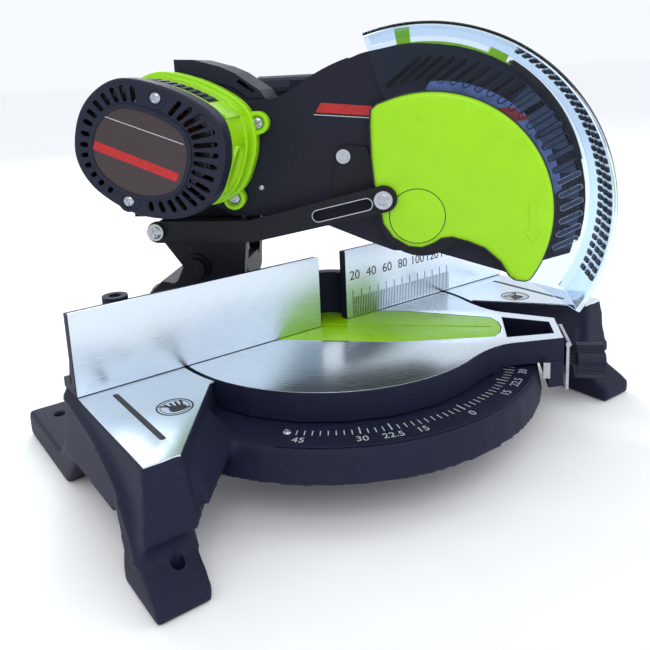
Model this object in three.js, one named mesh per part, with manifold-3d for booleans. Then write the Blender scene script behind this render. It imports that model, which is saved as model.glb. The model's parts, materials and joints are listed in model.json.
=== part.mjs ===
// Compound mitre saw with a belt-driven head. Millimetres, +Z up.
// Inside the groups, z = 0 is the table top. In the turning groups +x is the arbor's direction (n), and
// -y points forward along the arm (u = -y), so an outline in (u, height) stands in the blade's plane.
import * as THREE from 'three';
import { mergeVertices } from 'three/addons/utils/BufferGeometryUtils.js';
import { ConvexGeometry } from 'three/addons/geometries/ConvexGeometry.js';
import Module from 'manifold-3d';

const wasm = await Module();
wasm.setup();

// ---------- driving sizes ----------
const gap = 0.3;                 // between two pieces that touch
const tableHeight = 90;          // bench to table top
const ground = -tableHeight;
const mitreAtRest = 45;          // degrees, arm turned to the right
const base = { halfWidth: 237, wingFront: 124, wingBack: 32, draft: 5, skirtBottom: -54, wall: 7, deck: 8 };
const apron = { radius: 183.5, footRadius: 188, top: -24, bottom: -50, wall: 7, inner: 124, floor: -45 };
const bowl = { radius: 150, wall: 7, hubRadius: 24, hubTop: -31.8, boreRadius: 6.5 };
const foot = { height: 20, holeX: 223, holeY: -131, holeRadius: 4.5 };
const ear = { inner: 196, outer: 241, back: 157, height: 24, holeX: 220, holeY: 128 };
const fence = { height: 65.4, thick: 8, front: 1, leftEnd: -10, rightEnd: 20, archInner: 24, archOuter: 34,
  archHeight: 41, flange: 8, flangeBack: 30, flangeStart: 152, bossRadius: 10, bossHole: 5, bossX: 194,
  boltX: [165, 222], ribX: [175, 232] };
const disc = { skirtRadius: 147, bottom: -22.4, plate: 6, wall: 7, hubRadius: 22,
  hubBottom: -29.2 };
const arm = { start: 158, halfWidth: 40, end: 203, endHalfWidth: 25.5, drop: 43, dropStart: 190 };
const kerf = { back: -75, front: 152, thick: 3, slot: 2.4, wellHalf: 7 };
const hinge = { plateBack: 151, plateRadius: 36, flangeRadius: 38, flangeFront: 152, flangeBack: 168,
  bolt: 6 };
const P = { u: -113, h: 65 };    // chop pivot
const F = { u: -139, h: 102.5 }; // rear bolt of the guard link
const A = { u: 86, h: 113 };     // arbor
const G = { u: 56, h: 127 };     // front bolt of the guard link
const M = { u: -110, h: 182 };   // motor shaft
const cheek = { outer: 33, inner: 22 };
const lug = { half: 20, radius: 19, clearRadius: 60 };
const casing = { near: -36, far: 35, wall: 4, guardRadius: 136, guardWall: 4, chamberFar: 8, backRadius: 102,
  backStart: 12 };
const lower = { outer: casing.guardRadius + 16, wall: 3.5, near: -44.3, far: 20, innerRadius: 94, lip: 10, start: -34, end: 107 };
const plate = { near: -50, far: -44.7, centre: { u: 92, h: 113.4 }, radius: 97, start: -35, end: 110 };
const pivotRing = { outer: 36, inner: 20, near: -44, far: -36.4 };
const link = { near: -54.5, far: -51.5, half: 9.5, eye: 11, slotHalf: 4 };
const motor = { near: -127, far: -36.4, capDepth: 22, wall: 3.5, flangeGrow: 4, capGrow: 1, coilRadius: 40,
  labelShare: 0.66, labelShift: { u: -7, h: -2.5 } };
// the motor's outline in (u, height), clockwise from the top left
const motorEdge = [[-128, 232], [-100, 226.5], [-74, 214.5], [-57, 200], [-52, 178.5], [-56, 158], [-66, 139],
  [-86, 129], [-112, 129], [-135, 137], [-158, 155], [-168, 178], [-163, 205], [-149, 223]];
const shaft = { radius: 6 };
shaft.bore = shaft.radius + 0.4;
const belt = { n0: 19, n1: 31, big: 30, small: 17, thick: 3 };
const cover = { near: 35.3, far: 50, wall: 3, radiusM: 46, radiusA: 40 };
const grip = { inner: 109, outer: 140, near: 48, middle: 62, far: 76, start: -8, end: 100, sleeve: 4 };
const radians = Math.PI / 180;
const flatness = 0.05;           // how far a face may move when slivers are merged

// ---------- materials ----------
const finish = (color, roughness,
  metalness) => new THREE.MeshStandardMaterial({ color, roughness, metalness });
const paint = finish(0x1c1e34, 0.75, 0.2);
const lime = finish(0xa0dc00, 0.4, 0);
const aluminium = finish(0xd5dce4, 0.3, 1);
const steel = finish(0xc4c7cc, 0.3, 1);
const blackSteel = finish(0x15151a, 0.5, 0.6);
const plastic = finish(0x202234, 0.6, 0);
const rubber = finish(0x18181c, 0.9, 0);
const clear = finish(0xc8dcf0, 0.1, 0);
const brown = finish(0x4a3535, 0.6, 0.2);
const copper = finish(0xb06a3a, 0.4, 1);
clear.transparent = true;
clear.opacity = 0.4;

// ---------- solids ----------
function solid(geometry) {
  const bare = new THREE.BufferGeometry();
  bare.setAttribute('position', geometry.getAttribute('position').clone());
  if (geometry.index) bare.setIndex(geometry.index.clone());
  const merged = mergeVertices(bare, 1e-4);
  const index = merged.index.array;
  const triangles = [];
  for (let i = 0; i < index.length; i += 3) {
    const [a, b, c] = [index[i], index[i + 1], index[i + 2]];
    if (a !== b && b !== c && c !== a) triangles.push(a, b, c);
  }
  const vertProperties = new Float32Array(merged.getAttribute('position').array);
  return new wasm.Manifold(new wasm.Mesh({ numProp: 3, vertProperties,
    triVerts: new Uint32Array(triangles) }));
}

function join(first, ...rest) {
  return rest.reduce((whole, piece) => whole.add(piece), first);
}

function cut(first, ...rest) {
  return rest.reduce((whole, piece) => whole.subtract(piece), first);
}

function add(parent, name, body, material) {
  const mesh = body.simplify(flatness).getMesh();
  const geometry = new THREE.BufferGeometry();
  geometry.setAttribute('position', new THREE.BufferAttribute(new Float32Array(mesh.vertProperties), 3));
  geometry.setIndex(new THREE.BufferAttribute(new Uint32Array(mesh.triVerts), 1));
  geometry.computeVertexNormals();
  const piece = new THREE.Mesh(geometry, material);
  piece.name = name;
  parent.add(piece);
  return piece;
}

// An outline in plan (x, y), raised from z0 to z1.
function slab(shape, z0, z1, curveSegments = 10) {
  const geometry = new THREE.ExtrudeGeometry(shape, { depth: z1 - z0, bevelEnabled: false, curveSegments });
  return solid(geometry.translate(0, 0, z0));
}

// An outline in (u, height), running along the arbor's direction from n0 to n1.
function sheet(shape, n0, n1, curveSegments = 10) {
  const geometry = new THREE.ExtrudeGeometry(shape, { depth: n1 - n0, bevelEnabled: false, curveSegments });
  const turn = new THREE.Matrix4().makeBasis(
    new THREE.Vector3(0, -1, 0), new THREE.Vector3(0, 0, 1), new THREE.Vector3(-1, 0, 0));
  return solid(geometry.applyMatrix4(turn).translate(n1, 0, 0));
}

// An outline in (x, height), running forward from u0 to u1.
function bulkhead(shape, u0, u1, curveSegments = 10) {
  const geometry = new THREE.ExtrudeGeometry(shape, { depth: u1 - u0, bevelEnabled: false, curveSegments });
  return solid(geometry.rotateX(Math.PI / 2).translate(0, -u0, 0));
}

function box(x0, x1, y0, y1, z0, z1) {
  const geometry = new THREE.BoxGeometry(x1 - x0, y1 - y0, z1 - z0);
  return solid(geometry.translate((x0 + x1) / 2, (y0 + y1) / 2, (z0 + z1) / 2));
}

function polygon(points) {
  return new THREE.Shape(points.map(([x, y]) => new THREE.Vector2(x, y)));
}

function circle(x, y, radius, hole = 0) {
  const shape = new THREE.Shape();
  shape.absarc(x, y, radius, 0, 2 * Math.PI, false);
  if (hole) {
    const inside = new THREE.Path();
    inside.absarc(x, y, hole, 0, 2 * Math.PI, true);
    shape.holes.push(inside);
  }
  return shape;
}

// A ring sector between two angles in degrees.
function sector(x, y, inner, outer, from, to) {
  const shape = new THREE.Shape();
  shape.absarc(x, y, outer, from * radians, to * radians, false);
  shape.absarc(x, y, inner, to * radians, from * radians, true);
  shape.closePath();
  return shape;
}

// The outline round two circles, as on a link or a belt.
function stadium(x1, y1, r1, x2, y2, r2) {
  const length = Math.hypot(x2 - x1, y2 - y1);
  const along = Math.atan2(y2 - y1, x2 - x1);
  const lean = Math.acos((r1 - r2) / length);
  const shape = new THREE.Shape();
  shape.absarc(x1, y1, r1, along + lean, along + 2 * Math.PI - lean, false);
  shape.absarc(x2, y2, r2, along - lean, along + lean, false);
  shape.closePath();
  return shape;
}

// A pin along the arbor's direction, a rod along the arm, and a post straight up.
const pin = (u, h, radius, n0, n1, hole = 0, segments = 8) => sheet(circle(u, h, radius, hole), n0, n1,
  segments);
const rod = (x, h, radius, u0, u1, hole = 0, segments = 8) => bulkhead(circle(x, h, radius, hole), u0, u1,
  segments);
const post = (x, y, radius, z0, z1, hole = 0, segments = 8) => slab(circle(x, y, radius, hole), z0, z1,
  segments);

function hull(points) {
  return solid(new ConvexGeometry(points.map(([x, y, z]) => new THREE.Vector3(x, y, z))));
}

// A hexagon socket screw head with its shank, standing on z or n.
function screwPost(x, y, headRadius, z0, z1, shankRadius, z2) {
  return join(post(x, y, headRadius, z0, z1, 0, 6), post(x, y, shankRadius, z2, z0, 0, 6));
}

function screwPin(u, h, headRadius, n0, n1, shankRadius, n2) {
  return join(pin(u, h, headRadius, n0, n1, 0, 6), pin(u, h, shankRadius, n1, n2, 0, 6));
}

// ---------- groups ----------
const saw = new THREE.Group();
const table = new THREE.Group();
table.position.z = tableHeight;
saw.add(table);
const mitre = new THREE.Group();
mitre.rotation.z = mitreAtRest * radians;
table.add(mitre);
const bevel = new THREE.Group();
mitre.add(bevel);
const head = new THREE.Group();
bevel.add(head);

// ---------- base ----------
function lathe(points, segments) {
  const profile = points.map(([r, z]) => new THREE.Vector2(r, z)).reverse();
  profile.push(profile[0].clone());
  return solid(new THREE.LatheGeometry(profile, segments).rotateX(Math.PI / 2));
}

function wing(side) {
  const { halfWidth, wingFront, wingBack, draft, skirtBottom, wall, deck } = base;
  const outline = (grow, z) => [
    [side * (halfWidth + grow), wingBack + grow, z], [side * (halfWidth + grow), -wingFront - grow, z],
    [side * (211.4 - grow), -wingFront - 1.2 - grow, z], [side * (145.5 - grow), -39.9 - grow, z],
    [side * (120 - grow), 0, z], [side * (120 - grow), wingBack + grow, z]];
  const outside = hull([...outline(0, 0), ...outline(draft, skirtBottom)]);
  const inside = hull([...outline(-wall, -deck), ...outline(draft - wall, skirtBottom - 1)]);
  return { outside, inside };
}

function leg(side) {
  const ring = (x0, x1, y0, y1, z) => [[x0, y0, z], [x1, y0, z], [x1, y1, z], [x0, y1, z]]
    .map(([x, y, h]) => [side * x, y, h]);
  const shin = hull([...ring(203, 242, -129, -78, base.skirtBottom + 12),
    ...ring(209, 246, -134, -94, ground + foot.height - 2)]);
  const top = ground + foot.height;
  const pad = hull([...ring(210, 247, -147, -96, ground), ...ring(210, 247, -150, -96, ground + 8),
    ...ring(212, 245, -143, -97, top)]);
  const hollow = hull([...ring(214, 236, -122, -88, base.skirtBottom + 11),
    ...ring(216, 240, -118, -102, ground - 1)]);
  const hole = post(side * foot.holeX, foot.holeY, foot.holeRadius, ground - 1, top + 1);
  return { outside: join(shin, pad), inside: hollow, hole };
}

function rearEar(side) {
  const { inner, outer, back, height } = ear;
  const profile = polygon([[-20, base.skirtBottom + 4], [14, base.skirtBottom - 3], [46, ground],
    [back, ground],
    [back, ground + height - 4], [back - 4, ground + height], [58, ground + height],
      [36, base.skirtBottom + 10],
    [-20, base.skirtBottom + 10]]);
  const geometry = new THREE.ExtrudeGeometry(profile, { depth: outer - inner, bevelEnabled: false });
  const turn = new THREE.Matrix4().makeBasis(
    new THREE.Vector3(0, 1, 0), new THREE.Vector3(0, 0, 1), new THREE.Vector3(1, 0, 0));
  const from = side > 0 ? inner : -outer;
  const body = solid(geometry.applyMatrix4(turn).translate(from, 0, 0));
  const pocket = box(side > 0 ? inner + 7 : -outer + 7, side > 0 ? outer - 7 : -inner - 7, 66, 112,
    ground - 1, ground + height - 7);
  return cut(body, pocket, post(side * ear.holeX, ear.holeY, foot.holeRadius, ground - 1,
    ground + height + 1));
}

function baseCasting() {
  const { boreRadius, hubRadius, hubTop, radius, wall } = bowl;
  const shell = lathe([[boreRadius, hubTop], [hubRadius, hubTop], [hubRadius, apron.floor + wall],
    [apron.inner - wall, apron.floor + wall], [apron.inner - wall, apron.top],
      [apron.radius - 1.5, apron.top],
    [apron.radius, apron.top - 1.5], [apron.footRadius, apron.bottom],
      [apron.footRadius - apron.wall, apron.bottom],
    [apron.radius - apron.wall, apron.top - wall], [apron.inner, apron.top - wall],
      [apron.inner, apron.floor],
    [boreRadius, apron.floor]], 48);
  const behind = box(-200, 200, base.wingBack - 30, 200, -60, 0);
  const rearApron = behind.subtract(post(0, 0, radius, -70, 10, 0, 32));
  const rearWall = post(0, 0, radius, apron.floor, apron.top, radius - wall,
    32).intersect(box(-160, 160, 0, 160, -60, 0));
  const spokes = [0, 60, 120].map((angle) => {
    const bar = new THREE.BoxGeometry(2 * apron.inner - 4, 6, 8);
    return solid(bar.translate(0, 0, apron.floor + wall + 1).rotateZ(angle * radians));
  });
  const spokeHole = post(0, 0, boreRadius, -60, 0);
  let body = join(cut(shell, rearApron), rearWall, cut(join(...spokes), spokeHole));
  const wings = [-1, 1].map(wing);
  const legs = [-1, 1].map(leg);
  const room = post(0, 0, radius - 1.4, apron.top, 5, 0, 40);
  const under = post(0, 0, apron.footRadius, -70, apron.top, 0, 32);
  body = join(body, ...wings.map((w) => cut(w.outside, w.inside, room,
    under.intersect(box(-200, 200, -200, 200, -60, apron.top - 1)))));
  body = join(body, ...[-1, 1].map(rearEar), ...legs.map((l) => l.outside));
  body = cut(body, ...legs.map((l) => l.inside), ...legs.map((l) => l.hole));
  const boltHoles = [-1, 1].flatMap((side) => fence.boltX.map((x) => post(side * x, 20, 3.2, -20, 1)));
  return cut(body, ...boltHoles);
}

function fenceCasting() {
  const { height, thick, front, leftEnd, rightEnd, archInner, archOuter, archHeight, flange,
    flangeBack } = fence;
  const back = front + thick;
  const middle = (leftEnd + rightEnd) / 2;
  const arch = sector(middle, back, archInner, archOuter, -6, 186);
  const trimFront = box(middle - 60, middle + 60, -20, front, -1, height);
  const trimGap = box(leftEnd, rightEnd, -20, back + 0.01, -1, height + 1);
  let body = join(box(-base.halfWidth, leftEnd, front, back, gap, height),
    box(rightEnd, base.halfWidth, front, back, gap, height));
  body = join(body, cut(slab(arch, gap, archHeight), trimFront, trimGap));
  for (const side of [-1, 1]) {
    const near = side > 0 ? fence.flangeStart : -base.halfWidth;
    body = join(body, box(near, near + base.halfWidth - fence.flangeStart, back - 1, flangeBack, gap,
      gap + flange));
    for (const x of fence.ribX) {
      const rib = new THREE.ExtrudeGeometry(polygon([[back - 1, gap], [back + 17, gap],
        [back - 1, height - 8]]),
        { depth: 5, bevelEnabled: false });
      const turn = new THREE.Matrix4().makeBasis(
        new THREE.Vector3(0, 1, 0), new THREE.Vector3(0, 0, 1), new THREE.Vector3(1, 0, 0));
      body = join(body, solid(rib.applyMatrix4(turn).translate(side * x - 2.5, 0, 0)));
    }
    const boss = post(side * fence.bossX, back + fence.bossRadius - 1, fence.bossRadius, gap, height + 2, 0,
      8);
    body = join(body, boss);
    body = cut(body, post(side * fence.bossX, back + fence.bossRadius - 1, fence.bossHole, 14, height + 3, 0,
      6));
    body = cut(body, ...fence.boltX.map((x) => post(side * x, 20, 3.4, -1, flange + 2)));
  }
  return body;
}

add(table, 'base_casting', baseCasting(), paint);
add(table, 'fence', fenceCasting(), aluminium);
for (const [i, side] of [-1, 1].entries()) {
  for (const [j, x] of fence.boltX.entries()) {
    const bolt = screwPost(side * x, 20, 5.5, gap * 2 + fence.flange, 5 + fence.flange, 2.9, -16);
    add(table, `fence_bolt_${2 * i + j + 1}`, bolt, steel);
  }
}
const scale = { inner: 152, outer: 181.5, thick: 1, reach: 50, screwAngle: 48.5, screwRadius: 163 };
const scaleBottom = apron.top + gap;
const scaleHoles = [-1, 1].map((side) => {
  const angle = (-90 + side * scale.screwAngle) * radians;
  return [scale.screwRadius * Math.cos(angle), scale.screwRadius * Math.sin(angle)];
});
add(table, 'mitre_scale_plate', cut(slab(sector(0, 0, scale.inner, scale.outer, -90 - scale.reach,
  -90 + scale.reach),
  scaleBottom, scaleBottom + scale.thick), ...scaleHoles.map(([x, y]) => post(x, y, 1.8, -30, -20))),
    plastic);
add(table, 'mitre_pivot_bolt', join(post(0, 0, 10, apron.floor - 8, apron.floor - gap, 0, 6),
  post(0, 0, 6, apron.floor - gap, -12)), steel);
add(table, 'thrust_washer', post(0, 0, 19, bowl.hubTop + gap, disc.hubBottom - gap, 6.6), steel);

// ---------- turntable ----------
function tableOutline(radius, grow) {
  const shape = new THREE.Shape();
  const half = 34;
  const leave = half * radians;
  shape.absarc(0, 0, radius, -Math.PI / 2 + leave, -Math.PI / 2 - leave + 2 * Math.PI, false);
  const side = arm.halfWidth + grow;
  shape.quadraticCurveTo(-side - 9, -138, -side, -arm.start);
  shape.lineTo(-arm.endHalfWidth - grow, -arm.end - grow);
  shape.lineTo(arm.endHalfWidth + grow, -arm.end - grow);
  shape.lineTo(side, -arm.start);
  shape.quadraticCurveTo(side + 9, -138, radius * Math.sin(leave), -radius * Math.cos(leave));
  return shape;
}

function kerfOutline(grow) {
  const shape = new THREE.Shape();
  shape.moveTo(40 + grow, -18);
  shape.lineTo(40 + grow, 60);
  shape.lineTo(34 + grow, -kerf.back + grow);
  shape.lineTo(-34 - grow, -kerf.back + grow);
  shape.lineTo(-40 - grow, 60);
  shape.lineTo(-40 - grow, -66);
  shape.lineTo(-24 - grow, -kerf.front + 6);
  shape.quadraticCurveTo(0, -kerf.front - 8 - grow, 24 + grow, -kerf.front + 6);
  shape.lineTo(40 + grow, -66);
  shape.closePath();
  return shape;
}

function turntableCasting() {
  const { skirtRadius, bottom, plate: top, wall, hubRadius, hubBottom } = disc;
  let body = slab(tableOutline(skirtRadius, 0), bottom, 0);
  body = cut(body, post(0, 0, skirtRadius - wall, bottom - 1, -top, 0, 32));
  const ribs = [box(-4, 4, -141, 141, bottom + 1, -top + 1), box(-141, 141, -4, 4, bottom + 1, -top + 1),
    post(0, 0, 80, bottom + 1, -top + 1, 75, 20)];
  body = join(body, ...ribs, post(0, 0, hubRadius, hubBottom, -top + 1));
  body = cut(body, post(0, 0, shaft.bore, hubBottom - 1, -10));
  const hingePlate = join(rod(0, 0, hinge.plateRadius, -hinge.plateBack, -138, 0, 16),
    box(-hinge.plateRadius, hinge.plateRadius, 130, hinge.plateBack, bottom, 0));
  body = join(body, cut(hingePlate, box(-60, 60, 120, 170, -60, bottom), box(-60, 60, 100, 138, 0.01, 60)));
  body = cut(body, box(-60, 60, -187, -150, bottom - 1, bottom + 2.4));
  const endDrop = (grow, z0, z1) => {
    const lead = 31 - grow;
    const tail = arm.endHalfWidth - grow;
    return slab(polygon([[-tail, -arm.end + grow], [tail, -arm.end + grow], [lead, -arm.dropStart - grow],
      [-lead, -arm.dropStart - grow]]), z0, z1);
  };
  body = join(body, cut(endDrop(0, -arm.drop, bottom + 3), endDrop(4, -arm.drop - 1, bottom - 1)));
  const pit = polygon([[-26, -156], [-14.5, -196.5], [14.5, -196.5], [26, -156]]);
  body = cut(body, slab(pit, bottom + 5, 1), slab(kerfOutline(gap), -kerf.thick - gap, 1));
  body = cut(body, box(-kerf.wellHalf, kerf.wellHalf, -148, -30, -30, 1));
  body = cut(body, rod(0, 0, hinge.bolt + 0.4, -170, -139), rod(0, -30, 4.4, 185, 210));
  return body;
}

add(mitre, 'turntable', turntableCasting(), aluminium);
add(mitre, 'kerf_plate', cut(slab(kerfOutline(0), -kerf.thick, 0),
  box(-kerf.slot / 2, kerf.slot / 2, -kerf.front + 8, -kerf.back - 25, -10, 5)), lime);
add(mitre, 'mitre_pointer', join(box(-39, -32.4, -190, -184.5, -21, -17),
  box(-39, -37, -190, -184.5, -31, -17)), steel);
const knob = { u0: 217, u1: 240, radius: 16, h: -30 };
const flutes = [0, 1, 2, 3, 4, 5].map((i) => {
  const angle = i * 60 * radians;
  return rod((knob.radius + 3) * Math.cos(angle), knob.h + (knob.radius + 3) * Math.sin(angle), 6,
    knob.u0 - 1, knob.u1 + 1, 0, 5);
});
add(mitre, 'mitre_lock_knob', join(cut(rod(0, knob.h, knob.radius, knob.u0, knob.u1, 0, 12), ...flutes),
  rod(0, knob.h, 4, 189.5, knob.u0)), plastic);
const lever = { u0: 206, u1: 208.4, top: -4, bottom: -49, half: 20, pivot: -7 };
add(mitre, 'mitre_detent_lever',
  join(cut(box(-lever.half, lever.half, -lever.u1, -lever.u0, lever.bottom, lever.top),
  box(-7, 7, -lever.u1 - 1, -lever.u0 + 1, -38, -22)),
    pin(lever.u0 + 1.2, lever.pivot, 2.4, -lever.half - 2, lever.half + 2, 0, 5)),
steel);

// ---------- tilting turret ----------
const cheekOutline = polygon([[-148, 96], [-148, 104], [-142, 109], [-72, 109], [-66, 104], [-66, 91],
  [-69, 68], [-70, 52], [-78, 24], [-132, 12], [-136, 45], [-126, 65]]);

function turretCasting() {
  const sides = [sheet(cheekOutline, -cheek.outer, -cheek.inner),
    sheet(cheekOutline, cheek.inner, cheek.outer)];
  const web = sheet(polygon([[-134, 14], [-78, 24], [-68, 52], [-70, 68], [-78, 72], [-84, 66], [-86, 44],
    [-128, 40], [-136, 44]]), -cheek.inner - 1, cheek.inner + 1);
  const flange = rod(0, 0, hinge.flangeRadius, -hinge.flangeBack, -hinge.flangeFront, 0, 16);
  const neck = sheet(polygon([[-hinge.flangeBack, -20], [-hinge.flangeBack, 32], [-150, 50], [-138, 48],
    [-134, 43.5],
    [-110, 43.5], [-110, 38], [-hinge.flangeFront, 38], [-hinge.flangeFront, -20]]), -28, 28);
  const bosses = [[-cheek.outer - 3, -cheek.outer + 1], [cheek.outer - 1, cheek.outer + 3]]
    .map(([n0, n1]) => pin(P.u, P.h, 12, n0, n1));
  const linkPost = pin(F.u, F.h, 7, link.far + gap, -cheek.outer + 1);
  const body = join(...sides, web, flange, neck, ...bosses, linkPost);
  return cut(body, pin(P.u, P.h, shaft.bore, -cheek.outer - 7, cheek.outer + 7), rod(0, 0, hinge.bolt + 0.1 + gap, -180, -140),
    pin(F.u, F.h, 3.3, -60, -24), pin(-84, 92, 4.4, cheek.inner - 2, cheek.outer + 2));
}

add(bevel, 'bevel_turret', turretCasting(), blackSteel);
add(bevel, 'bevel_pivot_bolt', join(rod(0, 0, hinge.bolt, -hinge.flangeBack - 1, -141),
  rod(0, 0, 11, -hinge.flangeBack - 10, -hinge.flangeBack - gap, 0, 6)), steel);
add(bevel, 'chop_pivot_pin', join(pin(P.u, P.h, shaft.radius, -cheek.outer - 4, cheek.outer + 4),
  pin(P.u, P.h, 9, -cheek.outer - 8, -cheek.outer - 3.4),
    pin(P.u, P.h, 9, cheek.outer + 3.4, cheek.outer + 8)), steel);
add(bevel, 'link_rear_bolt', screwPin(F.u, F.h, 7.5, link.near - 5, link.near - gap, 3, -26), steel);
const lockPin = { u: -84, h: 92, radius: 4, tip: 20.8, end: 46 };
add(bevel, 'head_lock_pin', join(pin(lockPin.u, lockPin.h, lockPin.radius, lockPin.tip, lockPin.end),
  pin(lockPin.u, lockPin.h, 9, lockPin.end - 1, lockPin.end + 13)), plastic);
const leverHub = { u0: -196, u1: -180, radius: 11 };
add(bevel, 'bevel_lock_lever', join(rod(0, 0, leverHub.radius, leverHub.u0, leverHub.u1),
  bulkhead(stadium(0, 0, 9, 44, -16, 6), leverHub.u0, leverHub.u0 + 9)), plastic);
const springTurns = 5;
class Helix extends THREE.Curve {
  getPoint(t) {
    const angle = t * springTurns * 2 * Math.PI;
    return new THREE.Vector3(cheek.outer + 12 + t * 18, -P.u + 14 * Math.cos(angle),
      P.h + 14 * Math.sin(angle));
  }
}
const wire = new THREE.Shape();
wire.absarc(0, 0, 1.4, 0, 2 * Math.PI, false);
add(bevel, 'chop_return_spring', solid(new THREE.ExtrudeGeometry(wire,
  { steps: springTurns * 8, extrudePath: new Helix(), bevelEnabled: false, curveSegments: 3 })), steel);

// ---------- guard link ----------
const kink = { u: -56, h: 101.5 };
const linkBody = join(sheet(stadium(F.u, F.h - 1, link.half, kink.u, kink.h, link.half), link.near, link.far,
  8),
  sheet(stadium(kink.u, kink.h, link.half, G.u, G.h, link.half), link.near, link.far, 8),
  sheet(circle(G.u, G.h, link.eye), link.near, link.far, 12));
const slotFrom = { u: G.u - 52, h: G.h - 11.9 };
const slotTo = { u: G.u - 14, h: G.h - 3.2 };
add(bevel, 'guard_link', cut(linkBody, pin(F.u, F.h, 3.3, -60, -40),
  sheet(stadium(slotFrom.u, slotFrom.h, link.slotHalf, slotTo.u, slotTo.h, link.slotHalf), -60, -40, 6),
  pin(G.u, G.h, 3.3, -60, -40)), blackSteel);
add(bevel, 'link_front_bolt', join(pin(G.u, G.h, 7.5, link.near - 5.5, link.near - gap, 0, 8),
  pin(G.u, G.h, 3, link.near - gap, link.far - gap)), steel);

// ---------- head ----------
function onGuard(degrees, grow) {
  const radius = casing.guardRadius + grow;
  return [A.u + radius * Math.cos(degrees * radians), A.h + radius * Math.sin(degrees * radians)];
}

const armOutline = new THREE.Shape();
armOutline.moveTo(-160, 150);
armOutline.lineTo(-160, 130);
armOutline.lineTo(-166, 124);
armOutline.lineTo(-166, 112);
armOutline.lineTo(-150, 112);
armOutline.lineTo(-140, 111.5);
armOutline.lineTo(-48, 111.5);
armOutline.lineTo(-44, 104);
armOutline.lineTo(8, 101.8);
armOutline.lineTo(41.5, 87.8);
armOutline.lineTo(62, 80);
armOutline.lineTo(120, 68);
armOutline.lineTo(150, 64);
armOutline.lineTo(...onGuard(75, -8.4));
armOutline.lineTo(...onGuard(101, -0.5));
armOutline.quadraticCurveTo(20, 242, -10, 222);
armOutline.quadraticCurveTo(-26, 210, -44, 210);
armOutline.lineTo(-57, 210);
armOutline.lineTo(-70, 220);
armOutline.lineTo(-120, 235);
armOutline.lineTo(-142, 233);
armOutline.quadraticCurveTo(-162, 200, -160, 150);

function headCasing() {
  const { near, far, wall, guardRadius, guardWall, chamberFar, backRadius, backStart } = casing;
  const armBody = sheet(armOutline, near, far);
  const guardFront = pin(A.u, A.h, guardRadius, near, backStart, 0, 28);
  const guardBack = pin(A.u, A.h, backRadius, backStart - 1, far - 1, 0, 24);
  let body = join(cut(armBody, box(-60, 60, -A.u - 200, -A.u - 20, 0,
    300).intersect(pin(A.u, A.h, 400, backStart, 60, 0, 20))),
    guardFront, guardBack);
  // blade chamber, open below
  const chamber = join(pin(A.u, A.h, guardRadius - guardWall, near + 3.5, chamberFar, 0, 28),
    sheet(polygon([[30, A.h - 40], [A.u - 20, A.h - 44], [A.u + 60, A.h - 46], [300, 80], [300, -60],
      [30, -60]]),
      near + 3.5, chamberFar));
  body = cut(body, chamber);
  // below the rim the guard is open: everything under a line is taken away
  body = cut(body, sheet(polygon([[-60, 104], [8, 101.8], [41.5, 87.8], [62, 80], [98, 78], [150, 62],
    [196, 44], [260, 20],
    [260, -60], [-60, -60]]), near - 5, far + 5));
  // room inside the arm for the belt and the motor shaft
  const outsideGuard = pin(A.u, A.h, guardRadius + 0.5, near - 10, backStart, 0, 28);
  const inset = polygon([[-154, 150], [-140, 126], [-40, 118], [10, 108], [30, 100], [30, 236], [-8, 214],
    [-30, 203], [-52, 203], [-70, 213], [-120, 226], [-134, 225], [-152, 196]]);
  body = cut(body, cut(sheet(inset, near + wall, far + 1), outsideGuard,
    sheet(circle(P.u, P.h, lug.clearRadius + wall), -60, 60)));
  body = cut(body, sheet(stadium(M.u, M.h, 42, A.u, A.h, 36), backStart + 3, far + 1, 12));
  // arbor boss with its bore, and the hole for reaching the arbor bolt
  body = join(body, pin(A.u, A.h, 24, chamberFar - 1, belt.n0 - 2, 0, 12));
  body = cut(body, pin(A.u, A.h, 15.3, -8, belt.n0 - 1), pin(A.u, A.h, 17, near - 1, near + 5));
  body = cut(body, pin(M.u, M.h, 16, near - 1, near + wall + 2));
  // clearance for the turret's cheeks when the head is raised, and the lug between them
  const sweep = pin(P.u, P.h, lug.clearRadius, near - 1, far + 1, 0, 20);
  body = cut(body, sweep);
  const tongue = polygon([[P.u - 14, P.h], [P.u + 14, P.h], [-70, 112], [-60, 126], [-148, 126],
    [-140, 112]]);
  body = join(body, join(sheet(tongue, -lug.half, lug.half),
    pin(P.u, P.h, lug.radius, -lug.half, lug.half, 0, 12)));
  return cut(body, pin(P.u, P.h, shaft.bore, -60, 60),
    pin(lockPin.u, lockPin.h + 10, 4.4, lug.half - 8, lug.half + 2));
}

add(head, 'head_casing', headCasing(), paint);

function beltCover() {
  const { near, far, wall, radiusM, radiusA } = cover;
  const outer = sheet(stadium(M.u, M.h, radiusM, A.u, A.h, radiusA), near, far, 14);
  const inner = sheet(stadium(M.u, M.h, radiusM - wall, A.u, A.h, radiusA - wall), near - 1, far - wall, 14);
  const vents = [0, 1, 2, 3, 4].map((i) => sheet(polygon([[M.u - 22 + 10 * i, M.h - 20],
    [M.u - 18 + 10 * i, M.h - 20],
    [M.u - 18 + 10 * i, M.h + 20], [M.u - 22 + 10 * i, M.h + 20]]), far - wall - 1, far + 1));
  return cut(outer, inner, ...vents, pin(A.u, A.h + 26, 5.4, far - wall - 1, far + 1));
}

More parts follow.
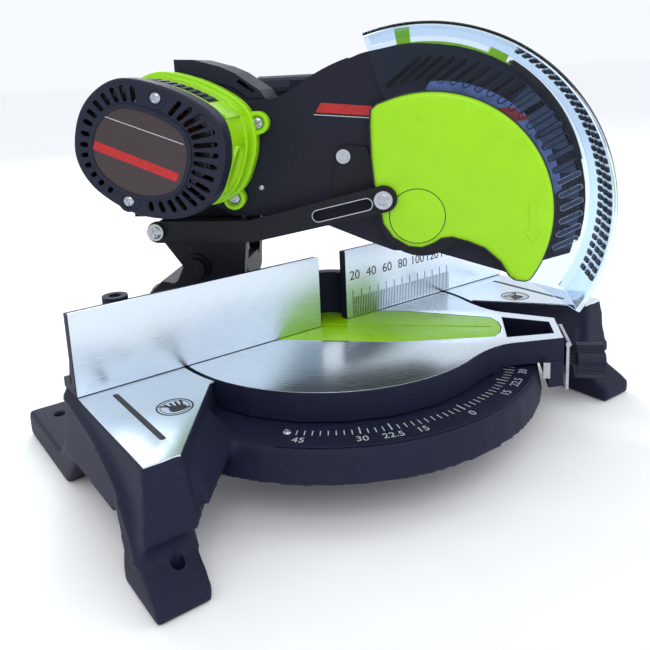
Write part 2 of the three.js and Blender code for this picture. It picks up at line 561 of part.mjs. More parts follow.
add(head, 'belt_cover', beltCover(), plastic);
add(head, 'guard_pivot_ring', pin(A.u, A.h, pivotRing.outer, pivotRing.near, pivotRing.far, pivotRing.inner,
  14), blackSteel);
add(head, 'guard_bracket', cut(sheet(polygon([[11, 127], [18, 168], [26, 170], [42, 168], [48, 150],
  [48, 138], [46, 126],
  [24, 122]]), -39.5, -36.4), pin(23, 161, 2.6, -50, -30)), blackSteel);
add(head, 'bracket_screw', join(pin(23, 161, 6, -42.5, -39.8, 0, 8), pin(23, 161, 2.3, -39.8, -36.5, 0, 6)),
  steel);

// ---------- lower guard ----------
function clearGuard() {
  const { outer, wall, near, far, innerRadius, lip, start, end } = lower;
  const side = sheet(sector(A.u, A.h, innerRadius, outer, start, end), near, near + wall, 16);
  const rim = sheet(sector(A.u, A.h, outer - wall, outer, start, end), near, far, 16);
  const farLip = sheet(sector(A.u, A.h, outer - lip, outer, start, end), far - wall, far, 16);
  return join(side, rim, farLip);
}

function sidePlateShape() {
  const shape = new THREE.Shape();
  shape.absarc(plate.centre.u, plate.centre.h, plate.radius, plate.start * radians, plate.end * radians,
    false);
  shape.quadraticCurveTo(47, 202, 47, 190);
  shape.quadraticCurveTo(45, 158, 51, 124);
  shape.quadraticCurveTo(53, 88, 81, 85.2);
  shape.quadraticCurveTo(90, 85, 98, 91);
  shape.quadraticCurveTo(106, 97, 124, 89.5);
  shape.quadraticCurveTo(142, 82, 151, 67);
  shape.quadraticCurveTo(156, 57.6, 171, 57);
  shape.closePath();
  return shape;
}

add(head, 'lower_guard_clear', clearGuard(), clear);
add(head, 'guard_side_plate', join(sheet(sidePlateShape(), plate.near, plate.far, 20),
  pin(A.u, A.h, pivotRing.inner - 0.4, plate.far - 0.5, pivotRing.far - 1, 12, 14)), lime);
add(head, 'guard_cap', pin(A.u - 3, A.h - 1, 23, plate.near - 1.2, plate.near - gap, 0, 12), lime);

// ---------- arbor and belt ----------
const arbor = { flangeRadius: 22, bladeGap: 3, bearingOuter: 15, boltHead: 10 };
add(head, 'arbor_spindle', join(pin(A.u, A.h, 8, -8, 33), pin(A.u, A.h, 10, -1, 6)), steel);
add(head, 'arbor_inner_flange', pin(A.u, A.h, arbor.flangeRadius, 1, 5, 10.3, 12), steel);
add(head, 'arbor_outer_flange', pin(A.u, A.h, arbor.flangeRadius, 1 - arbor.bladeGap - 4, 1 - arbor.bladeGap,
  8.3, 12), steel);
add(head, 'arbor_bolt', join(pin(A.u, A.h, arbor.boltHead, -17, -9.4, 0, 3), pin(A.u, A.h, 13, -9.6, -8.3)),
  steel);
add(head, 'arbor_bearing', pin(A.u, A.h, arbor.bearingOuter, 8.4, 17, 8.3, 12), steel);
add(head, 'arbor_pulley', pin(A.u, A.h, belt.big, belt.n0 + 1, belt.n1 - 1, 8.3, 14), aluminium);
add(head, 'motor_pulley', pin(M.u, M.h, belt.small, belt.n0 + 1, belt.n1 - 1, shaft.bore, 10), aluminium);
const beltOutline = stadium(M.u, M.h, belt.small + belt.thick, A.u, A.h, belt.big + belt.thick);
const beltInside = stadium(M.u, M.h, belt.small + gap, A.u, A.h, belt.big + gap);
add(head, 'drive_belt', cut(sheet(beltOutline, belt.n0 + 2, belt.n1 - 2, 12), sheet(beltInside, 0, 50, 12)),
  rubber);

// ---------- motor ----------
function motorOutline(grow, share = 1, shift = { u: 0, h: 0 }) {
  const corners = motorEdge.map(([u, h]) => new THREE.Vector3(u, h, 0));
  const curve = new THREE.CatmullRomCurve3(corners, true);
  const steps = 42;
  const points = [];
  for (let i = 0; i < steps; i++) {
    const at = curve.getPoint(i / steps);
    const along = curve.getTangent(i / steps);
    const [u, h] = [at.x - along.y * grow, at.y + along.x * grow];
    points.push([M.u + (u - M.u) * share + shift.u, M.h + (h - M.h) * share + shift.h]);
  }
  return polygon(points);
}

const { near: motorNear, far: motorFar, capDepth } = motor;
const capBack = motorNear + capDepth;
const ears = [[-49, 190], [-72, 129], [-170, 174]];
const earRadius = 8;
const earSolids = ears.map(([u, h]) => sheet(stadium(u, h, earRadius, M.u + (u - M.u) * 0.6,
  M.h + (h - M.h) * 0.6, earRadius),
  motorFar - 8, motorFar, 6));
add(head, 'motor_housing', cut(join(sheet(motorOutline(0), capBack + gap, motorFar),
  sheet(motorOutline(motor.flangeGrow), motorFar - 10, motorFar), ...earSolids),
    sheet(motorOutline(-motor.wall), capBack - 1, motorFar - 4), pin(M.u, M.h, 12, -60, -30),
...ears.map(([u, h]) => pin(u, h, 2.6, -60, -30, 0, 6))), lime);
const capScrews = [[-101, 217], [-129, 142]];
add(head, 'motor_end_cap', cut(sheet(motorOutline(motor.capGrow), motorNear, capBack),
  sheet(motorOutline(-3), motorNear + 4, capBack + 1), pin(M.u, M.h, 7, motorNear - 1, motorNear + 10),
  ...capScrews.map(([u, h]) => pin(u, h, 2.4, motorNear - 1, motorNear + 6, 0, 6))), plastic);
add(head, 'motor_label', sheet(motorOutline(0, motor.labelShare, motor.labelShift), motorNear - 1.4,
  motorNear - gap), brown);
add(head, 'field_ring', pin(M.u, M.h, motor.coilRadius, -92, -60, 29, 12), steel);
add(head, 'motor_rotor', join(pin(M.u, M.h, 28, -90, -62, 0, 12),
  pin(M.u, M.h, shaft.radius, -116, belt.n1 + 2),
  pin(M.u, M.h, 14, -104, -89, 0, 8)), copper);
const blades = [0, 1, 2, 3, 4, 5, 6, 7].map((i) => {
  const blade = new THREE.BoxGeometry(8.5, 2, 22);
  return solid(blade.translate(0, 0, 23).rotateX(i * 45 * radians).translate(-49, -M.u, M.h));
});
add(head, 'motor_fan', cut(join(pin(M.u, M.h, 36, -46, -44, 0, 14), pin(M.u, M.h, 13, -55, -44), ...blades),
  pin(M.u, M.h, shaft.bore, -60, -40)), plastic);
add(head, 'motor_bearing', pin(M.u, M.h, 11.5, -39.6, -32.4, shaft.bore, 10), steel);
const brush = { half: 5, from: 15, to: 38 };
[-1, 1].forEach((side, i) => {
  const y = -M.u;
  const holder = box(-103, -94, side > 0 ? y + brush.from : y - brush.to,
    side > 0 ? y + brush.to : y - brush.from,
    M.h - brush.half, M.h + brush.half);
  add(head, `brush_holder_${i + 1}`, holder, brown);
});

// ---------- carry handle, spout, switch handle ----------
add(head, 'carry_handle', cut(sheet(polygon([[-120, 235.6], [-120, 246], [-103, 245], [-81, 238.5],
  [-68, 232.5],
  [-47, 217.4], [-42.5, 210.6], [-57.2, 210.6], [-70, 220.6]]), -30, 20),
sheet(polygon([[-66.5, 225], [-64.5, 227.5], [-51, 217.6], [-53, 215]]), -31, 21)), plastic);
add(head, 'dust_spout', cut(join(rod(66, 214, 14.5, -70, -4, 0, 12), box(44, 60, 6, 30, 206, 222),
  box(35.4, 46, 4, 34, 204, 224)),
  rod(66, 214, 12, -71, -12, 0, 12)), plastic);
add(head, 'depth_stop_screw', post(0, 76, 3, 73, 96.8, 0, 6), steel);
const handleAngle = (degrees, radius) => [A.u + radius * Math.cos(degrees * radians),
  A.h + radius * Math.sin(degrees * radians)];
const [triggerPivot, lockOff] = [handleAngle(54, grip.outer - 25), handleAngle(60, grip.outer - 14)];
const armAngles = [grip.start + 4, grip.end - 5];
const bracketScrews = armAngles.map((angle) => handleAngle(angle, grip.outer - 16));

function handleHalf(n0, n1) {
  const body = sheet(sector(A.u, A.h, grip.inner, grip.outer, grip.start, grip.end), n0, n1, 18);
  const pocket = sheet(sector(A.u, A.h, grip.inner - 5, grip.outer - 17, 28, 57), grip.middle - 6,
    grip.middle + 6, 10);
  const lugs = [[7, 58, 65], [14, 94, 99]].map(([reach, from, to]) =>
    sheet(sector(A.u, A.h, grip.outer - 3, grip.outer + reach, from, to), n0, n1, 3));
  return cut(join(body, ...lugs), pocket, pin(...lockOff, 4.3, 40, 90, 0, 6),
    ...bracketScrews.map(([u, h]) => pin(u, h, 2.4, 40, 90, 0, 6)));
}

add(head, 'handle_left_half', handleHalf(grip.near, grip.middle - gap / 2), lime);
add(head, 'handle_right_half', handleHalf(grip.middle + gap / 2, grip.far), lime);
add(head, 'handle_grip', cut(sheet(sector(A.u, A.h, grip.outer - 10, grip.outer + grip.sleeve, 12, 56),
  grip.near - grip.sleeve, grip.far + grip.sleeve, 12),
  sheet(sector(A.u, A.h, grip.inner - 20, grip.outer + gap, 0, 70), grip.near - gap, grip.far + gap, 24)),
    rubber);
add(head, 'switch_trigger', join(pin(...triggerPivot, 4, grip.middle - 5.4, grip.middle + 5.4, 0, 8),
  sheet(sector(A.u, A.h, grip.inner - 7, grip.inner + 9, 32, 53), grip.middle - 5.4, grip.middle + 5.4, 8)),
    plastic);
add(head, 'lock_off_button', pin(...lockOff, 4, grip.near + 4, grip.far + 5, 0, 6), plastic);
const arms = armAngles.map((angle) => {
  const [u, h] = handleAngle(angle, 60);
  const [u2, h2] = handleAngle(angle, grip.outer - 16);
  return sheet(stadium(u, h, 13, u2, h2, 11), cover.near, grip.near - gap, 6);
});
add(head, 'handle_bracket', cut(join(sheet(sector(A.u, A.h, 46, 80, armAngles[0] - 6, armAngles[1] + 6),
  cover.near, 44, 14), ...arms),
  ...bracketScrews.map(([u, h]) => pin(u, h, 2.4, 30, 60, 0, 6)),
  sheet(stadium(M.u, M.h, cover.radiusM + 1, A.u, A.h, cover.radiusA + 1), 0, 60, 14),
  pin(A.u, A.h, 45, 0, 60, 0, 12)), blackSteel);
add(head, 'spindle_lock_button', join(pin(A.u, A.h + 26, 5, cover.far - 8, cover.far + 5, 0, 6),
  pin(A.u, A.h + 26, 7, cover.far - 11, cover.far - cover.wall - 2.8, 0, 6)), plastic);
add(head, 'cord_inlet', cut(rod(0, 145, 9, -176, -160.4, 0, 8), rod(0, 145, 4, -177, -159, 0, 6)), rubber);

// ---------- origin at the middle of the underside of the whole saw ----------
saw.updateMatrixWorld(true);
const bounds = new THREE.Box3().setFromObject(saw, true);
const centre = bounds.getCenter(new THREE.Vector3());
saw.position.set(-centre.x, -centre.y, -bounds.min.z);
saw.updateMatrixWorld(true);

export default saw;
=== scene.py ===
"""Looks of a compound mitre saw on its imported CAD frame.

Shapes are drawn in millimetres in two local frames: BASE (x right, y back, z up from the table top) and ARM,
which is BASE turned to the arm's direction (u forward along the arm, n to its right, h up).
"""
import json
import math

import bmesh
import bpy
from mathutils import Matrix, Vector

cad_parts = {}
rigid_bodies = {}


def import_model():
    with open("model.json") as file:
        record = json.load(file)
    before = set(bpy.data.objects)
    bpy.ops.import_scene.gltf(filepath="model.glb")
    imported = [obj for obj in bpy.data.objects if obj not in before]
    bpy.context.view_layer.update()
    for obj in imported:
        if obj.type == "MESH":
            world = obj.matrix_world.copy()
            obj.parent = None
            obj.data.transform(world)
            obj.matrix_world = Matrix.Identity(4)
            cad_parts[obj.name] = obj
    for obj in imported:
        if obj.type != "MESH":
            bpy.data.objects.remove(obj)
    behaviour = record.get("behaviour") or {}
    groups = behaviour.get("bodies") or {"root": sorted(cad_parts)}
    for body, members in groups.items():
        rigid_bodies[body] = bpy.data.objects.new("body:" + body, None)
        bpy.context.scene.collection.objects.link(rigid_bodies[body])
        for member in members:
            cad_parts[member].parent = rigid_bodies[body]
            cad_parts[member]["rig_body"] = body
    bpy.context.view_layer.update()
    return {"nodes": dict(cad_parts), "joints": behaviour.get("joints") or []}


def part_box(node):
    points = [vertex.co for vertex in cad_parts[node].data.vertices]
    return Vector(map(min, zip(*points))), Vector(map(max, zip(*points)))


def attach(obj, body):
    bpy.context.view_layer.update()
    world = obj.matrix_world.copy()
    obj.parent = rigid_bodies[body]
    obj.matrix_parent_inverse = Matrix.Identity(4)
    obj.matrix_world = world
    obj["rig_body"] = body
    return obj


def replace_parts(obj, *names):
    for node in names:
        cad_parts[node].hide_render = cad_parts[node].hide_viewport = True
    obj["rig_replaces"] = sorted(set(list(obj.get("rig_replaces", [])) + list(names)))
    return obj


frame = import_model()
NODES = frame["nodes"]
JOINTS = {joint["name"]: joint for joint in frame["joints"]}

# ---------- places, from the frame ----------
MM = 0.001
TABLE_CENTRE = Vector(JOINTS["mitre_turn"]["pos_m"])
ARM_AXIS = Vector(JOINTS["bevel_tilt"]["axis"])
BASE = Matrix.Translation(TABLE_CENTRE) @ Matrix.Scale(MM, 4)
ARM = BASE @ Matrix.Rotation(math.atan2(ARM_AXIS.y, ARM_AXIS.x), 4, "Z")
UPRIGHT = Matrix(((1, 0, 0, 0), (0, 0, 1, 0), (0, 1, 0, 0), (0, 0, 0, 1)))
PLAN = BASE
FRONT = BASE @ UPRIGHT       # outlines in (x, z), levels along y
ARM_PLAN = ARM
SIDE = ARM @ UPRIGHT         # outlines in (u, h), levels along n


def arm_point(point):
    return ARM.inverted() @ Vector(point)


def joint_place(name):
    point = arm_point(JOINTS[name]["pos_m"])
    return point.x, point.z


def node_centre(name):
    low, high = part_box(name)
    point = arm_point((low + high) / 2)
    return point.x, point.z


ARBOR = joint_place("arbor_spin")
MOTOR = joint_place("rotor_spin")
LINK_REAR = joint_place("link_turn")
LINK_FRONT = node_centre("link_front_bolt")


# ---------- materials ----------
def new_material(name, slot):
    material = bpy.data.materials.new(name)
    material.use_nodes = True
    material["slot"] = slot
    return material, material.node_tree.nodes, material.node_tree.links


# Painted glints: pale bluish flecks mixed into a dark finish's colour, standing in for light caught on the
# ridges of a textured finish.
GLINT_FLECK_COLOR = (0.10, 0.12, 0.26)
ROUGHNESS_CHANGE = 0.08


def surface(name, slot, color, roughness, metallic=0.0, scale=400, stretch=(1, 1, 1), tint=0.15, bump=0.1,
            fleck_glint=0.0, rings=False, coat=0.0, shine=0.5):
    """A Principled surface whose colour, roughness and height follow one noise, with optional pale flecks
    that are painted glints of light on a textured finish.
    """
    material, nodes, links = new_material(name, slot)
    shader = nodes["Principled BSDF"]
    shader.inputs["Metallic"].default_value = metallic
    shader.inputs["Coat Weight"].default_value = coat
    shader.inputs["Specular IOR Level"].default_value = shine
    place = nodes.new("ShaderNodeTexCoord")
    mapping = nodes.new("ShaderNodeMapping")
    noise = nodes.new("ShaderNodeTexNoise")
    noise.inputs["Scale"].default_value = scale
    noise.inputs["Detail"].default_value = 5
    links.new(place.outputs["Object"], mapping.inputs["Vector"])
    if rings:
        mapping.inputs["Location"].default_value = (-TABLE_CENTRE.x, -TABLE_CENTRE.y, 0)
        mapping.inputs["Scale"].default_value = (1, 1, 0)
        length = nodes.new("ShaderNodeVectorMath")
        length.operation = "LENGTH"
        links.new(mapping.outputs["Vector"], length.inputs[0])
        noise.noise_dimensions = "1D"
        links.new(length.outputs["Value"], noise.inputs["W"])
    else:
        mapping.inputs["Scale"].default_value = stretch
        links.new(mapping.outputs["Vector"], noise.inputs["Vector"])
    ramp = nodes.new("ShaderNodeValToRGB")
    ramp.color_ramp.elements[0].position = 0.3
    ramp.color_ramp.elements[1].position = 0.7
    ramp.color_ramp.elements[0].color = (*[c * (1 - tint) for c in color], 1)
    ramp.color_ramp.elements[1].color = (*[min(1, c * (1 + tint)) for c in color], 1)
    links.new(noise.outputs["Fac"], ramp.inputs["Fac"])
    color_out = ramp.outputs["Color"]
    # Painted glints: pale flecks mixed into the base colour where a fine noise runs high.
    if fleck_glint:
        glint_spots = nodes.new("ShaderNodeTexNoise")
        glint_spots.inputs["Scale"].default_value = 2400
        glint_spots.inputs["Detail"].default_value = 2
        links.new(place.outputs["Object"], glint_spots.inputs["Vector"])
        glint_mask = nodes.new("ShaderNodeValToRGB")
        glint_mask.color_ramp.elements[0].position = 0.60
        glint_mask.color_ramp.elements[0].color = (0, 0, 0, 1)
        glint_mask.color_ramp.elements[1].position = 0.74
        glint_mask.color_ramp.elements[1].color = (fleck_glint, fleck_glint, fleck_glint, 1)
        links.new(glint_spots.outputs["Fac"], glint_mask.inputs["Fac"])
        mix = nodes.new("ShaderNodeMix")
        mix.data_type = "RGBA"
        mix.inputs["B"].default_value = (*GLINT_FLECK_COLOR, 1)
        links.new(glint_mask.outputs["Color"], mix.inputs["Factor"])
        links.new(color_out, mix.inputs["A"])
        color_out = mix.outputs["Result"]
    links.new(color_out, shader.inputs["Base Color"])
    spread = nodes.new("ShaderNodeMapRange")
    spread.inputs["From Min"].default_value = 0.3
    spread.inputs["From Max"].default_value = 0.7
    spread.inputs["To Min"].default_value = roughness - ROUGHNESS_CHANGE
    spread.inputs["To Max"].default_value = roughness + ROUGHNESS_CHANGE
    links.new(noise.outputs["Fac"], spread.inputs["Value"])
    links.new(spread.outputs["Result"], shader.inputs["Roughness"])
    relief = nodes.new("ShaderNodeBump")
    relief.inputs["Strength"].default_value = 0.6
    relief.inputs["Distance"].default_value = bump * MM
    links.new(noise.outputs["Fac"], relief.inputs["Height"])
    links.new(relief.outputs["Normal"], shader.inputs["Normal"])
    return material


def clear_plastic(name, slot):
    material, nodes, links = new_material(name, slot)
    shader = nodes["Principled BSDF"]
    shader.inputs["Base Color"].default_value = (0.74, 0.85, 0.97, 1)
    shader.inputs["Roughness"].default_value = 0.06
    shader.inputs["IOR"].default_value = 1.2
    shader.inputs["Transmission Weight"].default_value = 1.0
    place = nodes.new("ShaderNodeTexCoord")
    noise = nodes.new("ShaderNodeTexNoise")
    noise.inputs["Scale"].default_value = 35
    links.new(place.outputs["Object"], noise.inputs["Vector"])
    relief = nodes.new("ShaderNodeBump")
    relief.inputs["Strength"].default_value = 0.15
    relief.inputs["Distance"].default_value = 1.2 * MM
    links.new(noise.outputs["Fac"], relief.inputs["Height"])
    links.new(relief.outputs["Normal"], shader.inputs["Normal"])
    return material


# The paints, blackened steel and moulded plastic below carry painted glints as pale flecks.
PAINT = surface("cast_paint", "black_paint", (0.0075, 0.009, 0.027), 0.6, scale=1700, tint=0.5, bump=0.2,
                fleck_glint=0.35, shine=0.2)
CASING = surface("casing_paint", "black_paint", (0.007, 0.0075, 0.019), 0.5, scale=1100, tint=0.5, bump=0.12,
                 fleck_glint=0.2, shine=0.22)
SLOT_TRIM = surface("slot_trim", "black_plastic", (0.03, 0.04, 0.085), 0.35, scale=200, tint=0.3, bump=0.03,
                    shine=0.4)
LIME = surface("lime_gloss", "lime_plastic", (0.305, 0.65, 0.0), 0.34, scale=60, tint=0.03, bump=0.02,
               coat=0.1, shine=0.35)
BRUSHED = surface("brushed_aluminium", "bright_aluminium", (0.72, 0.79, 0.87), 0.32, metallic=1.0, scale=40,
                  stretch=(2, 2, 60), tint=0.07, bump=0.02)
MILLED = surface("milled_aluminium", "bright_aluminium", (0.70, 0.78, 0.87), 0.36, metallic=1.0, scale=40,
                 stretch=(1, 40, 1), tint=0.06, bump=0.01)
TURNED = surface("turned_aluminium", "bright_aluminium", (0.72, 0.80, 0.89), 0.24, metallic=1.0, scale=1400,
                 tint=0.08, bump=0.01, rings=True)
STEEL = surface("zinc_steel", "bright_steel", (0.42, 0.44, 0.48), 0.3, metallic=1.0, scale=300, tint=0.15,
                bump=0.03)
BLACK_STEEL = surface("blackened_steel", "black_steel", (0.008, 0.008, 0.013), 0.45, metallic=0.2, scale=500,
                      tint=0.5, bump=0.05, fleck_glint=0.1, shine=0.25)
PLASTIC = surface("moulded_plastic", "black_plastic", (0.009, 0.011, 0.027), 0.5, scale=1300, tint=0.35,
                  bump=0.1, fleck_glint=0.1, shine=0.25)
RUBBER = surface("soft_rubber", "black_rubber", (0.01, 0.01, 0.012), 0.8, scale=900, tint=0.3, bump=0.2)
BROWN = surface("brown_label", "brown_label", (0.04, 0.026, 0.028), 0.4, metallic=0.2, scale=900, tint=0.2,
                bump=0.02)
COPPER = surface("copper_wire", "copper_winding", (0.6, 0.25, 0.1), 0.35, metallic=1.0, scale=300,
                 stretch=(1, 1, 20), bump=0.1)
RED = surface("red_print", "black_plastic", (0.42, 0.004, 0.006), 0.35, scale=200, tint=0.12, bump=0.01)
BLUE = surface("blue_print", "black_plastic", (0.11, 0.15, 0.34), 0.3, scale=90, tint=0.3, bump=0.01)
WHITE = surface("white_print", "black_plastic", (0.42, 0.45, 0.48), 0.5, scale=600, tint=0.15, bump=0.01)
INK = surface("black_print", "black_plastic", (0.01, 0.01, 0.015), 0.5, scale=600, tint=0.3, bump=0.01)
GLASS = clear_plastic("clear_polycarbonate", "clear_plastic")


# ---------- outlines ----------
def arc(x, y, radius, start, end, count=24):
    angles = [math.radians(start + (end - start) * i / count) for i in range(count + 1)]
    return [(x + radius * math.cos(a), y + radius * math.sin(a)) for a in angles]


def circle(x, y, radius, count=32):
    return arc(x, y, radius, 0, 360, count)[:-1]


def sector(x, y, inner, outer, start, end, count=24):
    return arc(x, y, outer, start, end, count) + arc(x, y, inner, end, start, count)


def stadium(x1, y1, r1, x2, y2, r2, count=12):
    along = math.degrees(math.atan2(y2 - y1, x2 - x1))
    lean = math.degrees(math.acos((r1 - r2) / math.hypot(x2 - x1, y2 - y1)))
    return arc(x1, y1, r1, along + lean, along + 360 - lean, count) + arc(x2, y2, r2, along - lean,
                                                                          along + lean, count)


def oval(x, y, half_x, half_y, power=1.0, count=72):
    """A superellipse; power below 1 squares its corners."""
    points = []
    for i in range(count):
        t = 2 * math.pi * i / count
        a = half_x * math.copysign(abs(math.cos(t)) ** power, math.cos(t))
        b = half_y * math.copysign(abs(math.sin(t)) ** power, math.sin(t))
        points.append((x + a, y + b))
    return points


def bar(x1, y1, x2, y2, width, round_ends=True):
    if round_ends:
        return stadium(x1, y1, width / 2, x2, y2, width / 2, 5)
    length = math.hypot(x2 - x1, y2 - y1)
    dx, dy = (x2 - x1) / length * width / 2, (y2 - y1) / length * width / 2
    return [(x1 - dy, y1 + dx), (x1 + dy, y1 - dx), (x2 + dy, y2 - dx), (x2 - dy, y2 + dx)]


def spline(points, steps=6):
    """A closed smooth outline through a few points."""
    smooth = []
    count = len(points)
    for i in range(count):
        p0, p1, p2, p3 = (Vector(points[(i + k) % count]) for k in (-1, 0, 1, 2))
        for j in range(steps):
            t = j / steps
            point = 0.5 * (2 * p1 + (p2 - p0) * t + (2 * p0 - 5 * p1 + 4 * p2 - p3) * t ** 2
                           + (3 * p1 - p0 - 3 * p2 + p3) * t ** 3)
            smooth.append((point.x, point.y))
    return smooth


def grown(points, distance):
    """An outline moved outwards; it runs clockwise."""
    moved = []
    for i, (x, y) in enumerate(points):
        ahead, behind = Vector(points[(i + 1) % len(points)]), Vector(points[i - 1])
        along = (ahead - behind).normalized()
        moved.append((x - along.y * distance, y + along.x * distance))
    return moved


def polar(centre, radius, angle):
    turn = math.radians(angle)
    return centre[0] + radius * math.cos(turn), centre[1] + radius * math.sin(turn)


def mirrored(points):
    return [(-x, y) for x, y in reversed(points)]


# ---------- pieces ----------
def tidy(mesh):
    bm = bmesh.new()
    bm.from_mesh(mesh)
    bmesh.ops.remove_doubles(bm, verts=bm.verts, dist=0.002 * MM)
    bmesh.ops.dissolve_degenerate(bm, edges=bm.edges, dist=0.001 * MM)
    bmesh.ops.recalc_face_normals(bm, faces=bm.faces)
    bm.to_mesh(mesh)
    bm.free()


def shade(mesh, angle=32):
    mesh.shade_smooth()
    mesh.set_sharp_from_angle(angle=math.radians(angle))


def add_piece(name, mesh, place, material, body, replaces=()):
    mesh.transform(place)
    tidy(mesh)
    shade(mesh)
    mesh.materials.clear()
    mesh.materials.append(material)
    piece = bpy.data.objects.new(name, mesh)
    bpy.context.scene.collection.objects.link(piece)
    if body:
        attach(piece, body)
    if replaces:
        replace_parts(piece, *replaces)
    return piece


def plate(name, outlines, low, high, place, material, body, bevel=0.0, replaces=()):
    """A flat piece between two levels: the first outline is its edge, outlines inside it are holes."""
    curve = bpy.data.curves.new(name, "CURVE")
    curve.dimensions = "2D"
    curve.fill_mode = "BOTH"
    curve.extrude = (high - low) / 2 - bevel
    curve.bevel_depth = bevel
    curve.bevel_resolution = 3
    curve.offset = -bevel
    for outline in outlines:
        edge = curve.splines.new("POLY")
        edge.points.add(len(outline) - 1)
        for point, (x, y) in zip(edge.points, outline):
            point.co = (x, y, 0, 1)
        edge.use_cyclic_u = True
    holder = bpy.data.objects.new(name, curve)
    mesh = bpy.data.meshes.new_from_object(holder)
    bpy.data.objects.remove(holder)
    mesh.transform(Matrix.Translation((0, 0, (low + high) / 2)))
    return add_piece(name, mesh, place, material, body, replaces)


def turned(name, profile, centre, place, material, body, start=0, end=360, steps=48, replaces=()):
    """A profile of (radius, level) points swept about a centre."""
    whole = end - start >= 360
    bm = bmesh.new()
    rings = []
    for i in range(steps if whole else steps + 1):
        angle = math.radians(start + (end - start) * i / steps)
        c, s = math.cos(angle), math.sin(angle)
        rings.append([bm.verts.new((centre[0] + r * c, centre[1] + r * s, z)) for r, z in profile])
    for i in range(steps):
        near, far = rings[i], rings[(i + 1) % len(rings)]
        for j in range(len(profile)):
            k = (j + 1) % len(profile)
            bm.faces.new((near[j], near[k], far[k], far[j]))
    if not whole:
        bm.faces.new(rings[0])
        bm.faces.new(list(reversed(rings[-1])))
    mesh = bpy.data.meshes.new(name)
    bm.to_mesh(mesh)
    bm.free()
    return add_piece(name, mesh, place, material, body, replaces)


def apply_modifiers(piece):
    graph = bpy.context.evaluated_depsgraph_get()
    mesh = bpy.data.meshes.new_from_object(piece.evaluated_get(graph))
    piece.modifiers.clear()
    piece.data = mesh


def carve(piece, cutters):
    for cutter in cutters:
        modifier = piece.modifiers.new("cut", "BOOLEAN")
        modifier.operation = "DIFFERENCE"
        modifier.solver = "MANIFOLD"
        modifier.object = cutter
    apply_modifiers(piece)
    for cutter in cutters:
        bpy.data.objects.remove(cutter)
    return piece


def joined(name, pieces):
    """Several pieces of one material as one object."""
    bm = bmesh.new()
    for piece in pieces:
        bm.from_mesh(piece.data)
    mesh = bpy.data.meshes.new(name)
    bm.to_mesh(mesh)
    bm.free()
    material = pieces[0].data.materials[0]
    body = pieces[0].get("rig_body")
    stands_for = [node for piece in pieces for node in piece.get("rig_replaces", [])]
    for piece in pieces:
        bpy.data.objects.remove(piece)
    return add_piece(name, mesh, Matrix.Identity(4), material, body, stands_for)


SOFT_ANGLE = math.radians(30)
FLAT_ANGLE = math.radians(0.5)


def soften(piece, width, merge_flats=True):
    """Rounded edges for a faceted solid, without touching its mesh."""
    if merge_flats:
        flat = piece.modifiers.new("flat", "DECIMATE")
        flat.decimate_type = "DISSOLVE"
        flat.angle_limit = FLAT_ANGLE
    edge = piece.modifiers.new("edges", "BEVEL")
    edge.width = width * MM
    edge.segments = 3
    edge.limit_method = "ANGLE"
    edge.angle_limit = SOFT_ANGLE
    edge.miter_outer = "MITER_ARC"
    normals = piece.modifiers.new("normals", "WEIGHTED_NORMAL")
    normals.keep_sharp = False
    piece.data.shade_smooth()


def copy_node(node, name, material, body):
    """A new piece that starts from a CAD node's shape and stands for it."""
    return add_piece(name, NODES[node].data.copy(), Matrix.Identity(4), material, body, [node])


PRINT_THICK = 0.12


def label(name, text, size, at, turn, level, place, material, body):
    curve = bpy.data.curves.new(name, "FONT")
    curve.body = text
    curve.size = size
    curve.align_x = "CENTER"
    curve.align_y = "CENTER"
    curve.extrude = PRINT_THICK / 2
    holder = bpy.data.objects.new(name, curve)
    mesh = bpy.data.meshes.new_from_object(holder)
    bpy.data.objects.remove(holder)
    mesh.transform(Matrix.Translation((*at, level)) @ Matrix.Rotation(math.radians(turn), 4, "Z"))
    return add_piece(name, mesh, place, material, body)


HEAD_SHARE = 0.55            # height of a screw's head over its radius
RECESS_SHARE = 0.62          # reach of its cross over its radius
RECESS_WIDTH = 0.26


def screw(name, centre, level, radius, place, body, toward=-1, height=None):
    """A pan-head cross-recess screw whose head rises from a level."""
    rise = height or radius * HEAD_SHARE
    dome = [(radius * math.cos(a), level + toward * rise * math.sin(a))
            for a in map(math.radians, range(0, 90, 15))]
    profile = [(0, level)] + dome + [(0, level + toward * rise)]
    head = turned(name, profile, centre, place, STEEL, body, steps=24)
    arms = []
    for turn in (25, 115):
        ends = [polar(centre, radius * RECESS_SHARE, angle) for angle in (turn, turn + 180)]
        top = level + toward * (rise + 1)
        bottom = level + toward * rise * 0.55
        arms.append(plate(name + "_recess", [bar(*ends[0], *ends[1], radius * RECESS_WIDTH, False)],
                          min(top, bottom), max(top, bottom), place, STEEL, None))
    return carve(head, arms)


